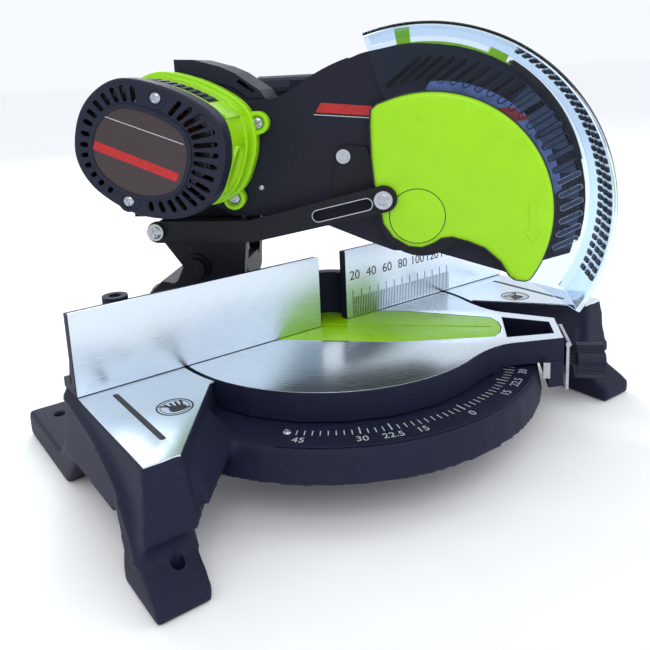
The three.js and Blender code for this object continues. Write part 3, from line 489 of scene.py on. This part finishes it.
# ---------- CAD nodes that keep their shape ----------
KEPT_NODES = {"fence": (PAINT, 0.8), "turntable": (PAINT, 1.2), "bevel_turret": (BLACK_STEEL, 1.6),
              "fence_bolt_1": (STEEL, 0.5), "fence_bolt_2": (STEEL, 0.5), "fence_bolt_3": (STEEL, 0.5),
              "fence_bolt_4": (STEEL, 0.5), "mitre_scale_plate": (PAINT, 0.2),
              "mitre_pivot_bolt": (STEEL, 0.5), "thrust_washer": (STEEL, 0.2), "mitre_pointer": (STEEL, 0.4),
              "mitre_lock_knob": (PLASTIC, 1.2), "mitre_detent_lever": (STEEL, 0.4),
              "bevel_pivot_bolt": (STEEL, 0.6), "chop_pivot_pin": (BLACK_STEEL, 0.8),
              "head_lock_pin": (PLASTIC, 0.8), "bevel_lock_lever": (PLASTIC, 1.2),
              "chop_return_spring": (STEEL, 0.3), "belt_cover": (PLASTIC, 1.5),
              "guard_pivot_ring": (BLACK_STEEL, 1.5), "guard_bracket": (BLACK_STEEL, 0.6),
              "arbor_spindle": (STEEL, 0.5), "arbor_inner_flange": (STEEL, 0.6),
              "arbor_outer_flange": (STEEL, 0.6), "arbor_bolt": (STEEL, 0.6), "arbor_bearing": (STEEL, 0.4),
              "arbor_pulley": (BRUSHED, 0.5), "motor_pulley": (BRUSHED, 0.5), "drive_belt": (RUBBER, 0.4),
              "field_ring": (STEEL, 0.8), "motor_rotor": (COPPER, 0.8), "motor_fan": (PLASTIC, 0.3),
              "motor_bearing": (STEEL, 0.4), "brush_holder_1": (BROWN, 0.5), "brush_holder_2": (BROWN, 0.5),
              "carry_handle": (PLASTIC, 2.0), "dust_spout": (PLASTIC, 1.0), "depth_stop_screw": (STEEL, 0.3),
              "handle_left_half": (LIME, 3.5), "handle_right_half": (LIME, 3.5), "handle_grip": (RUBBER, 2.5),
              "switch_trigger": (PLASTIC, 1.2), "lock_off_button": (PLASTIC, 0.6),
              "handle_bracket": (BLACK_STEEL, 1.0), "spindle_lock_button": (PLASTIC, 0.8),
              "cord_inlet": (RUBBER, 1.0), "bracket_screw": (STEEL, 0.4), "link_rear_bolt": (STEEL, 0.6),
              "link_front_bolt": (STEEL, 0.6)}
for node, (finish, edge_width) in KEPT_NODES.items():
    kept = NODES[node]
    kept.data.materials.clear()
    kept.data.materials.append(finish)
    soften(kept, edge_width)


# ---------- base: one soft casting with lofted legs ----------
def hull(name, points):
    """A convex solid round a few corners."""
    bm = bmesh.new()
    for point in points:
        bm.verts.new(point)
    made = bmesh.ops.convex_hull(bm, input=bm.verts)
    bmesh.ops.delete(bm, geom=list({*made["geom_interior"], *made["geom_unused"]}), context="VERTS")
    mesh = bpy.data.meshes.new(name)
    bm.to_mesh(mesh)
    bm.free()
    return add_piece(name, mesh, PLAN, PAINT, None)


def bead(name, points, radius):
    """A round rib along a curved line."""
    curve = bpy.data.curves.new(name, "CURVE")
    curve.dimensions = "3D"
    curve.bevel_depth = radius
    curve.bevel_resolution = 2
    curve.use_fill_caps = True
    line = curve.splines.new("NURBS")
    line.points.add(len(points) - 1)
    for point, at in zip(line.points, points):
        point.co = (*at, 1)
    line.use_endpoint_u = True
    line.order_u = 3
    holder = bpy.data.objects.new(name, curve)
    mesh = bpy.data.meshes.new_from_object(holder)
    bpy.data.objects.remove(holder)
    return add_piece(name, mesh, PLAN, PAINT, None)


def ring_at(side, x0, x1, y0, y1, z):
    return [(side * x, y, z) for x in (x0, x1) for y in (y0, y1)]


def remesh(piece, size, rounds):
    """One skin over pieces that run into each other, with softly rounded edges, as in a sand casting."""
    skin = piece.modifiers.new("skin", "REMESH")
    skin.mode = "VOXEL"
    skin.voxel_size = size * MM
    soft = piece.modifiers.new("soft", "SMOOTH")
    soft.factor = 0.5
    soft.iterations = rounds
    apply_modifiers(piece)
    piece.data.materials.clear()
    piece.data.materials.append(PAINT)
    piece.data.shade_smooth()


GROUND = -(TABLE_CENTRE.z / MM)
FOOT_HOLE = (223, -131, 4.8)             # x, y and radius
casting = copy_node("base_casting", "casting", PAINT, "base")
carve(casting, [hull("cut", ring_at(side, 185, 260, -170, -74, -52)
                     + ring_at(side, 185, 260, -170, -74, GROUND - 5)) for side in (-1, 1)])
parts = [casting]
for side in (-1, 1):
    parts.append(hull("leg", ring_at(side, 214, 236, -122.5, -70, -4)
                      + ring_at(side, 206, 243, -126, -82, -56) + ring_at(side, 204, 245, -125, -92, -68)))
    parts.append(hull("foot", ring_at(side, 209, 247, -150, -96, GROUND)
                      + ring_at(side, 209, 247, -150, -96, GROUND + 12)
                      + ring_at(side, 206, 245, -123, -97, -62)))
    parts.append(hull("ramp", [(side * 206, -118, -7), (side * 160, -58, -7), (side * 148, -84, -25),
                               (side * 196, -128, -40), (side * 206, -118, -44), (side * 160, -58, -40)]))
    parts.append(bead("lip", [(side * 239, 26, -5), (side * 240, -30, -11), (side * 242, -78, -22),
                              (side * 243.5, -104, -40), (side * 245, -120, -66)], 3.2))
shell = joined("base_shell", parts)
remesh(shell, 2.0, 12)
carve(shell, [plate("hole", [circle(side * FOOT_HOLE[0], *FOOT_HOLE[1:])], GROUND - 5, -56, PLAN, PAINT, None)
              for side in (-1, 1)])
shade(shell.data, 50)

# ---------- base: machined wing tops, grooves, pictograms, scale ----------
DISC_RADIUS = 145
ROOM_RADIUS = 149.2
WING_TOP = [(236, 0.2), (236, -123.2), (211.8, -124.4), (147, -40.6)] + arc(0, 0, ROOM_RADIUS, -15.8, 0, 8)
GROOVE = bar(212, -13, 212, -98, 4.6)
SIGN = (186, -61)
for side, hand in (("left", mirrored), ("right", list)):
    plate(f"wing_top_{side}", [hand(WING_TOP), hand(GROOVE)], -1.2, 0.3, PLAN, MILLED, "base", 0.1)
    plate(f"wing_groove_{side}", [hand(bar(212, -13, 212, -98, 4.5))], 0.0, 0.08, PLAN, INK, "base")
    rings = [plate("ring", [hand(circle(*SIGN, outer)), hand(circle(*SIGN, inner))], 0.28, 0.4, PLAN, INK,
                   "base") for outer, inner in ((13.6, 12.3), (10.8, 10.2))]
    fingers = [plate("finger", [hand(bar(SIGN[0] - 6 + 3.2 * i, SIGN[1] + 1, SIGN[0] - 7.5 + 4 * i,
                                         SIGN[1] + 7, 2.0))], 0.28, 0.4, PLAN, INK, "base") for i in range(4)]
    palm = plate("palm", [hand(oval(SIGN[0] - 1, SIGN[1] - 3.5, 6.4, 4.6, 0.7))], 0.28, 0.4, PLAN, INK,
                 "base")
    slash = plate("slash", [hand(bar(SIGN[0] - 8.6, SIGN[1] - 7, SIGN[0] + 8.6, SIGN[1] + 7, 1.6))], 0.28,
                  0.45, PLAN, INK, "base")
    joined(f"wing_pictogram_{side}", rings + fingers + [palm, slash])

SCALE_TOP = arm_point(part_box("mitre_scale_plate")[1]).z
TICK_OUTER = 166
ticks = []
for degrees in range(-48, 49, 2):
    angle = -90 + degrees
    long = degrees % 15 == 0 or abs(degrees) == 22
    inner, outer = (polar((0, 0), r, angle) for r in (TICK_OUTER - (9.5 if long else 6.5), TICK_OUTER))
    ticks.append(plate("tick", [bar(*inner, *outer, 1.1 if long else 0.8, False)], SCALE_TOP - 0.05,
                       SCALE_TOP + 0.12, PLAN, WHITE, "base"))
for degrees in (-45, -30, -22.5, -15, 0, 15, 22.5, 30, 45):
    ticks.append(label("number", f"{abs(degrees):g}", 9.6, polar((0, 0), 173.2, -90 + degrees), degrees,
                       SCALE_TOP + 0.04, PLAN, WHITE, "base"))
joined("mitre_scale_print", ticks)
for index, degrees in enumerate((-48.5, 48.5)):
    screw(f"scale_screw_{index + 1}", polar((0, 0), 163, -90 + degrees), SCALE_TOP, 3.4, PLAN, "base",
          toward=1)

# ---------- fence: machined faces, ruler ----------
FENCE_LOW, FENCE_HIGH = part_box("fence")
FENCE_TOP = (FENCE_HIGH.z - TABLE_CENTRE.z) / MM
FENCE_FRONT = (FENCE_LOW.y - TABLE_CENTRE.y) / MM
LEFT_FACE = [(-236.4, 0.8), (-10.4, 0.8), (-10.4, FENCE_TOP - 0.6), (-236.4, FENCE_TOP - 0.6)]
RIGHT_FACE = [(20.4, 0.8), (236.4, 0.8), (236.4, FENCE_TOP - 0.6), (20.4, FENCE_TOP - 0.6)]
for side, outline in (("left", LEFT_FACE), ("right", RIGHT_FACE)):
    plate(f"fence_face_{side}", [outline], FENCE_FRONT - 0.3, FENCE_FRONT + 0.6, FRONT, BRUSHED, "base", 0.12)
marks = []
RULER_START, RULER_STEP = 28, 2.08
for i in range(62):
    x = RULER_START + i * RULER_STEP
    top = 27 if i % 5 == 0 else 20
    marks.append(plate("mark", [bar(x, 1.5, x, top, 0.7, False)], FENCE_FRONT - 0.42, FENCE_FRONT - 0.25,
                       FRONT, INK, "base"))
for i, number in enumerate((20, 40, 60, 80, 100, 120, 140)):
    marks.append(label("number", str(number), 12.5, (31 + 20.2 * i, 41), 0, FENCE_FRONT - 0.36, FRONT, INK,
                       "base"))
joined("fence_ruler", marks)

# ---------- turntable: turned top, arm rim, kerf plate ----------
ARM_HALF, ARM_START, ARM_END, ARM_END_HALF = 40, 158, 203, 25.5
KERF_BACK = 75
LEAVE = 34                   # angle at which the disc's edge turns into the arm's
SHOULDER = (138, 9)          # pull of that curve: along the arm, and past the arm's side


def table_top(radius, grow):
    side = ARM_HALF + grow
    start = Vector(polar((0, 0), radius, LEAVE))
    control = Vector((SHOULDER[0], side + SHOULDER[1]))
    end = Vector((ARM_START, side))
    curve = []
    for t in (i / 8 for i in range(1, 9)):
        point = start * (1 - t) ** 2 + control * 2 * t * (1 - t) + end * t * t
        curve.append((point.x, point.y))
    nose = [(ARM_END + grow, ARM_END_HALF + grow), (ARM_END + grow, -ARM_END_HALF - grow)]
    other = [(x, -y) for x, y in reversed(curve)]
    return curve + nose + other + arc(0, 0, radius, 360 - LEAVE, LEAVE, 64)


def kerf_outline(grow):
    side, back = ARM_HALF + grow, KERF_BACK + grow
    nose = [(146, 24 + grow), (151 + grow, 14), (153 + grow, 0), (151 + grow, -14), (146, -24 - grow)]
    return [(66, side)] + nose + [(66, -side), (-60, -side), (-back, -34 - grow), (-back, 34 + grow),
                                  (-60, side)]


RECESS = [(156, 26), (196.5, 14.5), (196.5, -14.5), (156, -26)]
plate("turntable_top", [table_top(DISC_RADIUS, -0.8), kerf_outline(0.7), RECESS], -0.2, 0.2, ARM_PLAN, TURNED,
      "mitre_table", 0.15)
SLOT_HALF = 1.2
SLOT = [(145, SLOT_HALF), (145, -SLOT_HALF), (-54, -SLOT_HALF), (-54, SLOT_HALF)]
plate("kerf_insert", [kerf_outline(0), SLOT], -3, 0.1, ARM_PLAN, LIME, "mitre_table", 0.4, ["kerf_plate"])
for index, (u, n) in enumerate(((130, 13), (130, -13), (40, 26), (40, -26), (-55, 22), (-55, -22))):
    screw(f"kerf_screw_{index + 1}", (u, n), -0.4, 4.2, ARM_PLAN, "mitre_table", toward=1, height=0.6)

# ---------- head casing: slots round the guard, stripe, screws ----------
CASING_NEAR = -36
HOOD = (78, 117)             # centre of the upper guard's round edge
PLATE_CENTRE = (92, 113.4)   # centre of the side plate's round edge
SLOT_PITCH = 4.85
SLOT_COUNT = 23
FIRST_SLOT = -14.5
casing = copy_node("head_casing", "head_casing_shell", CASING, "head")


def slot_ends(angle):
    """The two ends of a leaning slot; the band of slots narrows towards the arm."""
    inner = 119 - 0.2 * max(0, angle)
    outer = min(132.5, inner + 19)
    lean = math.radians(26 + max(0, angle) / 7)
    direction = Vector((math.cos(lean), math.sin(lean)))
    middle = Vector(polar(HOOD, (inner + outer) / 2, angle))
    offset = middle - Vector(HOOD)
    along = offset.dot(direction)
    ends = []
    for radius in (inner, outer):
        reach = math.sqrt(max(0.0, along ** 2 - offset.length_squared + radius ** 2))
        ends.append(middle + direction * (reach - along))
    return ends


slots, slot_bars, dark_rims, glint_rims = [], [], [], []
for i in range(SLOT_COUNT):
    angle = FIRST_SLOT + SLOT_PITCH * i
    start, end = slot_ends(angle)
    slot_bars.append(bar(*start, *end, 3.8))
    slots.append(plate("slot", [bar(*start, *end, 3.6)], CASING_NEAR - 2, CASING_NEAR + 6, SIDE, CASING,
                       None))
    # Painted highlight: rims of the slots below 12° are bright steel, standing in for the slots' rounded
    # edges catching light; the other rims keep the casing's black.
    rims, material, width = (glint_rims, STEEL, 4.4) if angle < 12 else (dark_rims, CASING, 5.4)
    rims.append(plate("rim", [bar(*start, *end, width), bar(*start, *end, 3.6)], CASING_NEAR - 0.7,
                      CASING_NEAR + 0.2, SIDE, material, "head", 0.15))
RIM_CUT = sector(*HOOD, 131.5, 150, -60, 112, 40)
carve(casing, [joined("slots", slots), plate("rim_cut", [RIM_CUT], CASING_NEAR - 2, 2, SIDE, CASING, None),
               plate("foot_cut", [[(166, 66), (240, 88), (260, 0), (160, 0)]], CASING_NEAR - 2, 30, SIDE,
                     CASING, None)])
soften(casing, 0.8, merge_flats=False)
joined("slot_rims_dark", dark_rims)
# The bright steel rims are a painted highlight on the slots' edges.
joined("slot_rims_painted_glint", glint_rims)
plate("slot_trim", [sector(*HOOD, 113.5, 131.2, FIRST_SLOT - 3, 46, 40)] + slot_bars[:12], CASING_NEAR - 0.3,
      CASING_NEAR + 0.2, SIDE, SLOT_TRIM, "head", 0.1)
BAND_OUTER = polar(PLATE_CENTRE, 8, 48)
BAND = arc(*BAND_OUTER, 99, 6, 92, 30) + arc(*PLATE_CENTRE, 96, 92, 6, 30)
plate("casing_band", [BAND], CASING_NEAR - 0.25, CASING_NEAR + 0.2, SIDE, BLUE, "head")
plate("casing_band_stripe", [[(145, 195.5), (158, 195), (171, 185), (158, 184)]], CASING_NEAR - 0.4,
      CASING_NEAR + 0.1, SIDE, RED, "head")
STRIPE = [(5.5, 205), (47, 200.6), (45.6, 193), (0.8, 197.4)]
plate("stripe", [STRIPE], CASING_NEAR - 0.25, CASING_NEAR + 0.2, SIDE, RED, "head")
plate("stripe_line", [bar(-1, 195.6, 45.4, 191.2, 0.7, False)], CASING_NEAR - 0.2, CASING_NEAR + 0.2, SIDE,
      WHITE, "head")
screw("casing_screw", (-49, 135.5), CASING_NEAR, 2.6, SIDE, "head")
BRACKET_FACE = -39.6
screw("bracket_screw_head", node_centre("bracket_screw"), BRACKET_FACE, 5.4, SIDE, "head")

# ---------- lower guard: clear shell, side plate, cap ----------
GUARD_OUTER = 152
GUARD_INNER = 94
GUARD_WALL = 3
GUARD_ROUND = 6              # outer radius of the rim's near corner
GUARD_START, GUARD_END = -34, 107
CORNER = (GUARD_OUTER - GUARD_ROUND, -38.3)
OUTSIDE = [polar(CORNER, GUARD_ROUND, -angle) for angle in (15, 35, 55, 75, 90)]
INSIDE = [polar(CORNER, GUARD_ROUND - GUARD_WALL, -angle) for angle in (60, 30, 0)]
GUARD_PROFILE = (
    [(GUARD_OUTER, 18), (GUARD_OUTER, -38)] + OUTSIDE
    + [(GUARD_INNER, -44.3), (GUARD_INNER, -41.3), (GUARD_OUTER - 6.4, -41.3)] + INSIDE
    + [(GUARD_OUTER - 3, 15), (GUARD_OUTER - 9, 16.5), (GUARD_OUTER - 9, 19.5), (GUARD_OUTER - 2, 19.5)])
turned("clear_guard", GUARD_PROFILE, ARBOR, SIDE, GLASS, "lower_guard", GUARD_START, GUARD_END, 96,
       ["lower_guard_clear"])

vents = []
for i in range(31):
    angle = -24 + 2.7 * i
    for low, high in ((-34, -25), (-20, -11), (-3, 8)):
        vents.append(plate("vent", [sector(*ARBOR, 146.9, 148.8, angle, angle + 1.5, 2)], low, high, SIDE,
                           PLASTIC, "lower_guard"))
joined("guard_rim_vents", vents)

PLATE_RADIUS = 96.8
PLATE_FOOT = [(168, 56.4), (160, 57.6), (155.6, 61), (148.5, 73), (136, 84.4), (122, 90.4), (110, 93.7),
              (101.5, 92.8), (95.5, 88.9), (86, 85.2), (75, 86.2), (62.5, 94), (55, 105), (52, 121),
              (48.6, 137.3), (46.6, 161), (46.3, 185), (47.3, 198), (52, 202)]
SIDE_PLATE = arc(*PLATE_CENTRE, PLATE_RADIUS, 110, -35, 60) + PLATE_FOOT
PLATE_NEAR = -50
plate("guard_plate", [SIDE_PLATE], PLATE_NEAR, -40.5, SIDE, LIME, "lower_guard", 4.0, ["guard_side_plate"])
plate("guard_plate_seam", [grown(SIDE_PLATE, 1.3)], -45.4, -44.4, SIDE, INK, "lower_guard", 0.3)
CAP = (82.4, 111.7)
CAP_RADIUS = 22
SEAM = [(CAP_RADIUS + 0.2, 1), (CAP_RADIUS + 0.2, -0.15), (CAP_RADIUS + 0.8, -0.15), (CAP_RADIUS + 0.8, 1)]
turned("cap_seam", [(r, PLATE_NEAR + level) for r, level in SEAM], CAP, SIDE, INK, "lower_guard", steps=64)
plate("cap_disc", [circle(*CAP, CAP_RADIUS, 64)], PLATE_NEAR - 0.4, PLATE_NEAR + 1, SIDE, LIME, "lower_guard",
      0.3, ["guard_cap"])
ARROW = [(169.4, 123), (175.2, 123), (175.2, 99), (179.5, 99), (172.3, 88), (165.2, 99), (169.4, 99)]
plate("guard_arrow", [ARROW], PLATE_NEAR - 0.5, PLATE_NEAR + 0.5, SIDE, LIME, "lower_guard", 0.4)

# ---------- guard link ----------
KINK = (-56, 101.5)
LINK_NEAR, LINK_FAR = -54.5, -51.5
LINK_HALF = 9.5
LINK_EYE = 11
LINK_SLOT = (2, 114, 42, 123)


def link_slot(radius):
    return stadium(*LINK_SLOT[:2], radius, *LINK_SLOT[2:], radius)


REAR_ARM = stadium(LINK_REAR[0], LINK_REAR[1] - 1, LINK_HALF, *KINK, LINK_HALF)
FRONT_ARM = stadium(*KINK, LINK_HALF, *LINK_FRONT, LINK_EYE)
rear_arm = plate("link_rear", [REAR_ARM], LINK_NEAR, LINK_FAR, SIDE, BLACK_STEEL, "link", 0.5, ["guard_link"])
front_arm = plate("link_front", [FRONT_ARM, link_slot(4.2)], LINK_NEAR - 0.02, LINK_FAR + 0.02, SIDE,
                  BLACK_STEEL, "link", 0.5)
joined("guard_link_arm", [rear_arm, front_arm])
# Painted highlight: a thin bright steel ring round the slot stands in for light on the slot's edges.
plate("link_slot_painted_glint", [link_slot(5.4), link_slot(4.6)], LINK_NEAR - 0.5, LINK_NEAR + 0.2, SIDE, STEEL,
      "link", 0.1)
LINK_BOLT_FACE = -58.6
for name, centre, body in (("link_bolt_rear", LINK_REAR, "turret"), ("link_bolt_front", LINK_FRONT, "link")):
    screw(name, centre, LINK_BOLT_FACE, 6.2, SIDE, body, height=2.2)

# ---------- motor: housing, end cap, label ----------
MOTOR_NEAR = -127
CAP_DEPTH = 22
MOTOR_EDGE = spline([(-128, 232), (-100, 226.5), (-74, 214.5), (-57, 200), (-52, 178.5), (-56, 158),
                     (-66, 139), (-86, 129), (-112, 129), (-135, 137), (-158, 155), (-168, 178), (-163, 205),
                     (-149, 223)], 8)


def motor_outline(grow):
    return grown(MOTOR_EDGE, grow)


def scaled(points, centre, share, shift=(0, 0)):
    return [(centre[0] + (x - centre[0]) * share + shift[0], centre[1] + (y - centre[1]) * share + shift[1])
            for x, y in points]


def along_edge(share):
    """A point of the motor's outline by its share of the way round, and the outward direction there."""
    lengths = [math.dist(MOTOR_EDGE[i], MOTOR_EDGE[i - 1]) for i in range(len(MOTOR_EDGE))]
    target = (share % 1) * sum(lengths)
    travelled = 0
    for i, length in enumerate(lengths):
        if travelled + length >= target:
            a, b = Vector(MOTOR_EDGE[i - 1]), Vector(MOTOR_EDGE[i])
            tangent = (b - a).normalized()
            return a + tangent * (target - travelled), Vector((-tangent.y, tangent.x))
        travelled += length
    return Vector(MOTOR_EDGE[-1]), Vector((0, 1))


CAP_SCREWS = [(-101, 217), (-129, 142)]
LABEL_SHIFT = (-6.5, -2.5)
LABEL_SHARE = 0.64
LABEL = (MOTOR[0] + LABEL_SHIFT[0], MOTOR[1] + LABEL_SHIFT[1])
label_edge = scaled(MOTOR_EDGE, MOTOR, LABEL_SHARE, LABEL_SHIFT)
CAP_SLOTS = 36
SLOT_WIDTH = 3.7
holes = []
for i in range(CAP_SLOTS):
    edge, outward = along_edge((i + 0.5) / CAP_SLOTS)
    outer = edge - outward * 6.5
    inward = (Vector(LABEL) - outer).normalized()
    clear = min(math.dist(outer, p) for p in label_edge)
    inner = outer + inward * max(1.5, min(15, clear - 5.5))
    if min(math.dist((outer + inner) / 2, s) for s in CAP_SCREWS) > 12:
        holes.append(bar(*inner, *outer, SLOT_WIDTH))
cap_face = plate("cap_face", [motor_outline(-2.4)] + holes, MOTOR_NEAR, MOTOR_NEAR + 4, SIDE, PLASTIC, "head",
                 0.35, ["motor_end_cap"])
cap_skirt = plate("cap_skirt", [motor_outline(0.4), motor_outline(-4.6)], MOTOR_NEAR + 0.1,
                  MOTOR_NEAR + CAP_DEPTH, SIDE, PLASTIC, "head", 2.2)
joined("motor_cap", [cap_face, cap_skirt])
LABEL_TURN = -20
plate("label_rim", [grown(label_edge, 2.6), grown(label_edge, -0.8)], MOTOR_NEAR - 1.6, MOTOR_NEAR + 1, SIDE,
      PLASTIC, "head", 0.7)
plate("label_field", [grown(label_edge, -0.6)], MOTOR_NEAR - 0.7, MOTOR_NEAR + 1, SIDE, BROWN, "head", 0.1,
      ["motor_label"])


def on_label(x, y):
    c, s = math.cos(math.radians(LABEL_TURN)), math.sin(math.radians(LABEL_TURN))
    return LABEL[0] + x * c - y * s, LABEL[1] + x * s + y * c


plate("label_line", [bar(*on_label(-32, 16), *on_label(31, 15), 0.6, False)], MOTOR_NEAR - 0.85, MOTOR_NEAR,
      SIDE, WHITE, "head")
plate("label_stripe", [bar(*on_label(-35, -7), *on_label(33, -10), 6.6, False)], MOTOR_NEAR - 0.9, MOTOR_NEAR,
      SIDE, RED, "head")
for index, (u, h) in enumerate(CAP_SCREWS):
    plate(f"cap_boss_{index + 1}", [circle(u, h, 8.4), circle(u, h, 5.6)], MOTOR_NEAR - 0.6, MOTOR_NEAR + 2,
          SIDE, PLASTIC, "head", 0.5)
    screw(f"cap_screw_{index + 1}", (u, h), MOTOR_NEAR + 0.3, 4.4, SIDE, "head")
HOUSING_BACK = -36.6


def edge_part(start, end, grow):
    """The outline's points between two shares of the way round, moved outwards."""
    points = []
    for i in range(17):
        point, outward = along_edge(start + (end - start) * i / 16)
        points.append(tuple(point + outward * grow))
    return points


def housing_patch(name, start, end, inner, outer, low, high, material, body, bevel=0.0):
    outline = edge_part(start, end, outer) + edge_part(start, end, inner)[::-1]
    return plate(name, [outline], low, high, SIDE, material, body, bevel)


def edge_place(share, level):
    """Outlines in (along the edge, n) on the housing's side, levels outwards."""
    point, outward = along_edge(share)
    tangent = Vector((-outward.y, 0, outward.x))
    turn = Matrix((tangent, Vector((0, 1, 0)), Vector((outward.x, 0, outward.y)))).transposed().to_4x4()
    return ARM @ Matrix.Translation((point.x, level, point.y)) @ turn


TOP = (0.0, 0.19)            # the vent's shares of the way round, clockwise from the top
LENS = 0.36                  # the brush window's share
LENS_LEVEL = -96
housing = plate("housing_body", [motor_outline(-0.6), motor_outline(-4)], MOTOR_NEAR + CAP_DEPTH + 0.3,
                HOUSING_BACK, SIDE, LIME, "head", 0.6, ["motor_housing"])
carve(housing, [housing_patch("pocket", *TOP, -2.6, 8, -98, -62, LIME, None),
             plate("lens", [oval(0, 0, 17, 7, 1.0)], -12, 6, edge_place(LENS, LENS_LEVEL), LIME, None)])
step = plate("housing_step", [motor_outline(1.2), motor_outline(-2)], -66, HOUSING_BACK, SIDE, LIME, "head",
             1.2)
carve(step, [housing_patch("pocket", TOP[0] - 0.02, TOP[1] + 0.01, -8, 8, -74, -61, LIME, None)])
plate("housing_flange", [motor_outline(4.6), motor_outline(-2)], -50, HOUSING_BACK, SIDE, LIME, "head", 1.6)
housing_patch("vent_panel", TOP[0] + 0.004, TOP[1] - 0.004, -5, -2.2, -97, -63, PLASTIC, "head", 0.4)
louvres = []
for i in range(9):
    start = TOP[0] + 0.012 + 0.0195 * i
    louvres.append(housing_patch("louvre", start, start + 0.009, -3.4, -0.9, -92, -68, PLASTIC, "head", 0.4))
joined("vent_louvres", louvres)
plate("lens_rim", [oval(0, 0, 19, 8.6, 1.0), oval(0, 0, 17, 6.9, 1.0)], -3.0, 0.6,
      edge_place(LENS, LENS_LEVEL), LIME, "head", 0.5)
# Painted shade: a black sleeve inside the housing, so that the brush window and the vent show dark behind
# them.
plate("lens_painted_shade", [motor_outline(-9), motor_outline(-11)], -104, -50, SIDE, INK, "head")
housing_patch("side_rib", 0.232, 0.244, -2, 1.4, -104, -44, LIME, "head", 0.6)
EARS = [(-47, 191), (-71, 128), (-170, 174)]
EAR_FACE = -44.4
EAR_ROOT = 0.72              # share of the way out from the motor's shaft at which an ear starts
for index, (u, h) in enumerate(EARS):
    root = [m + (at - m) * EAR_ROOT for m, at in zip(MOTOR, (u, h))]
    plate(f"ear_{index + 1}", [stadium(u, h, 9.6, *root, 12)], EAR_FACE, HOUSING_BACK, SIDE, LIME, "head",
          1.5)
    plate(f"ear_boss_{index + 1}", [circle(u, h, 9.5), circle(u, h, 6.4)], -46.5, -43, SIDE, LIME, "head",
          0.8)
    screw(f"ear_screw_{index + 1}", (u, h), EAR_FACE, 5.4, SIDE, "head")

# ---------- camera, floor, light ----------
CAMERA = {"place": (-0.3729, -0.5100, 0.2287), "azimuth": -34.58, "elevation": 12.0, "roll": -2.86,
          "lens": 39.65, "shift": (0.0278, -0.152)}
azimuth, elevation, roll = (math.radians(CAMERA[k]) for k in ("azimuth", "elevation", "roll"))
right = Vector((math.cos(azimuth), math.sin(azimuth), 0))
back = Vector((math.sin(azimuth) * math.cos(elevation), -math.cos(azimuth) * math.cos(elevation),
               math.sin(elevation)))
up = back.cross(right)
rolled_right = right * math.cos(roll) + up * math.sin(roll)
rolled_up = up * math.cos(roll) - right * math.sin(roll)
camera = bpy.data.objects.new("camera", bpy.data.cameras.new("camera"))
camera.data.sensor_width = 36
camera.data.lens = CAMERA["lens"]
camera.data.shift_x, camera.data.shift_y = CAMERA["shift"]
facing = Matrix((rolled_right, rolled_up, back)).transposed().to_4x4()
camera.matrix_world = Matrix.Translation(TABLE_CENTRE + Vector(CAMERA["place"])) @ facing
bpy.context.scene.collection.objects.link(camera)
bpy.context.scene.camera = camera

FLOOR = surface("pale_floor", "floor", (0.95, 0.955, 0.96), 0.7, scale=20, tint=0.01, bump=0.02)
FLOOR_HALF = 60
floor_mesh = bpy.data.meshes.new("floor")
floor_mesh.from_pydata([(x * FLOOR_HALF, y * FLOOR_HALF, 0) for x, y in ((-1, -1), (1, -1), (1, 1), (-1, 1))],
                       [], [(0, 1, 2, 3)])
floor_mesh.materials.append(FLOOR)
floor = bpy.data.objects.new("floor", floor_mesh)
floor.location.z = -0.0005
bpy.context.scene.collection.objects.link(floor)


def area_light(name, place, target, size, power, color):
    light = bpy.data.lights.new(name, "AREA")
    light.size = size
    light.energy = power
    light.color = color
    holder = bpy.data.objects.new(name, light)
    holder.location = place
    holder.rotation_euler = (Vector(target) - Vector(place)).to_track_quat("-Z", "Y").to_euler()
    bpy.context.scene.collection.objects.link(holder)


area_light("key", (-0.9, -1.5, 1.9), (0, 0, 0.15), 1.2, 14, (1.0, 0.99, 0.97))
area_light("fill", (1.6, -1.0, 1.3), (0, 0, 0.15), 1.6, 8, (0.88, 0.93, 1.0))
area_light("rim", (0.4, 1.9, 1.6), (0, 0, 0.2), 1.2, 22, (0.9, 0.95, 1.0))
world = bpy.data.worlds.new("studio")
world.use_nodes = True
background = world.node_tree.nodes["Background"]
background.inputs["Color"].default_value = (0.93, 0.96, 1.0, 1)
background.inputs["Strength"].default_value = 1.0
bpy.context.scene.world = world
bpy.context.scene.view_settings.view_transform = "Standard"
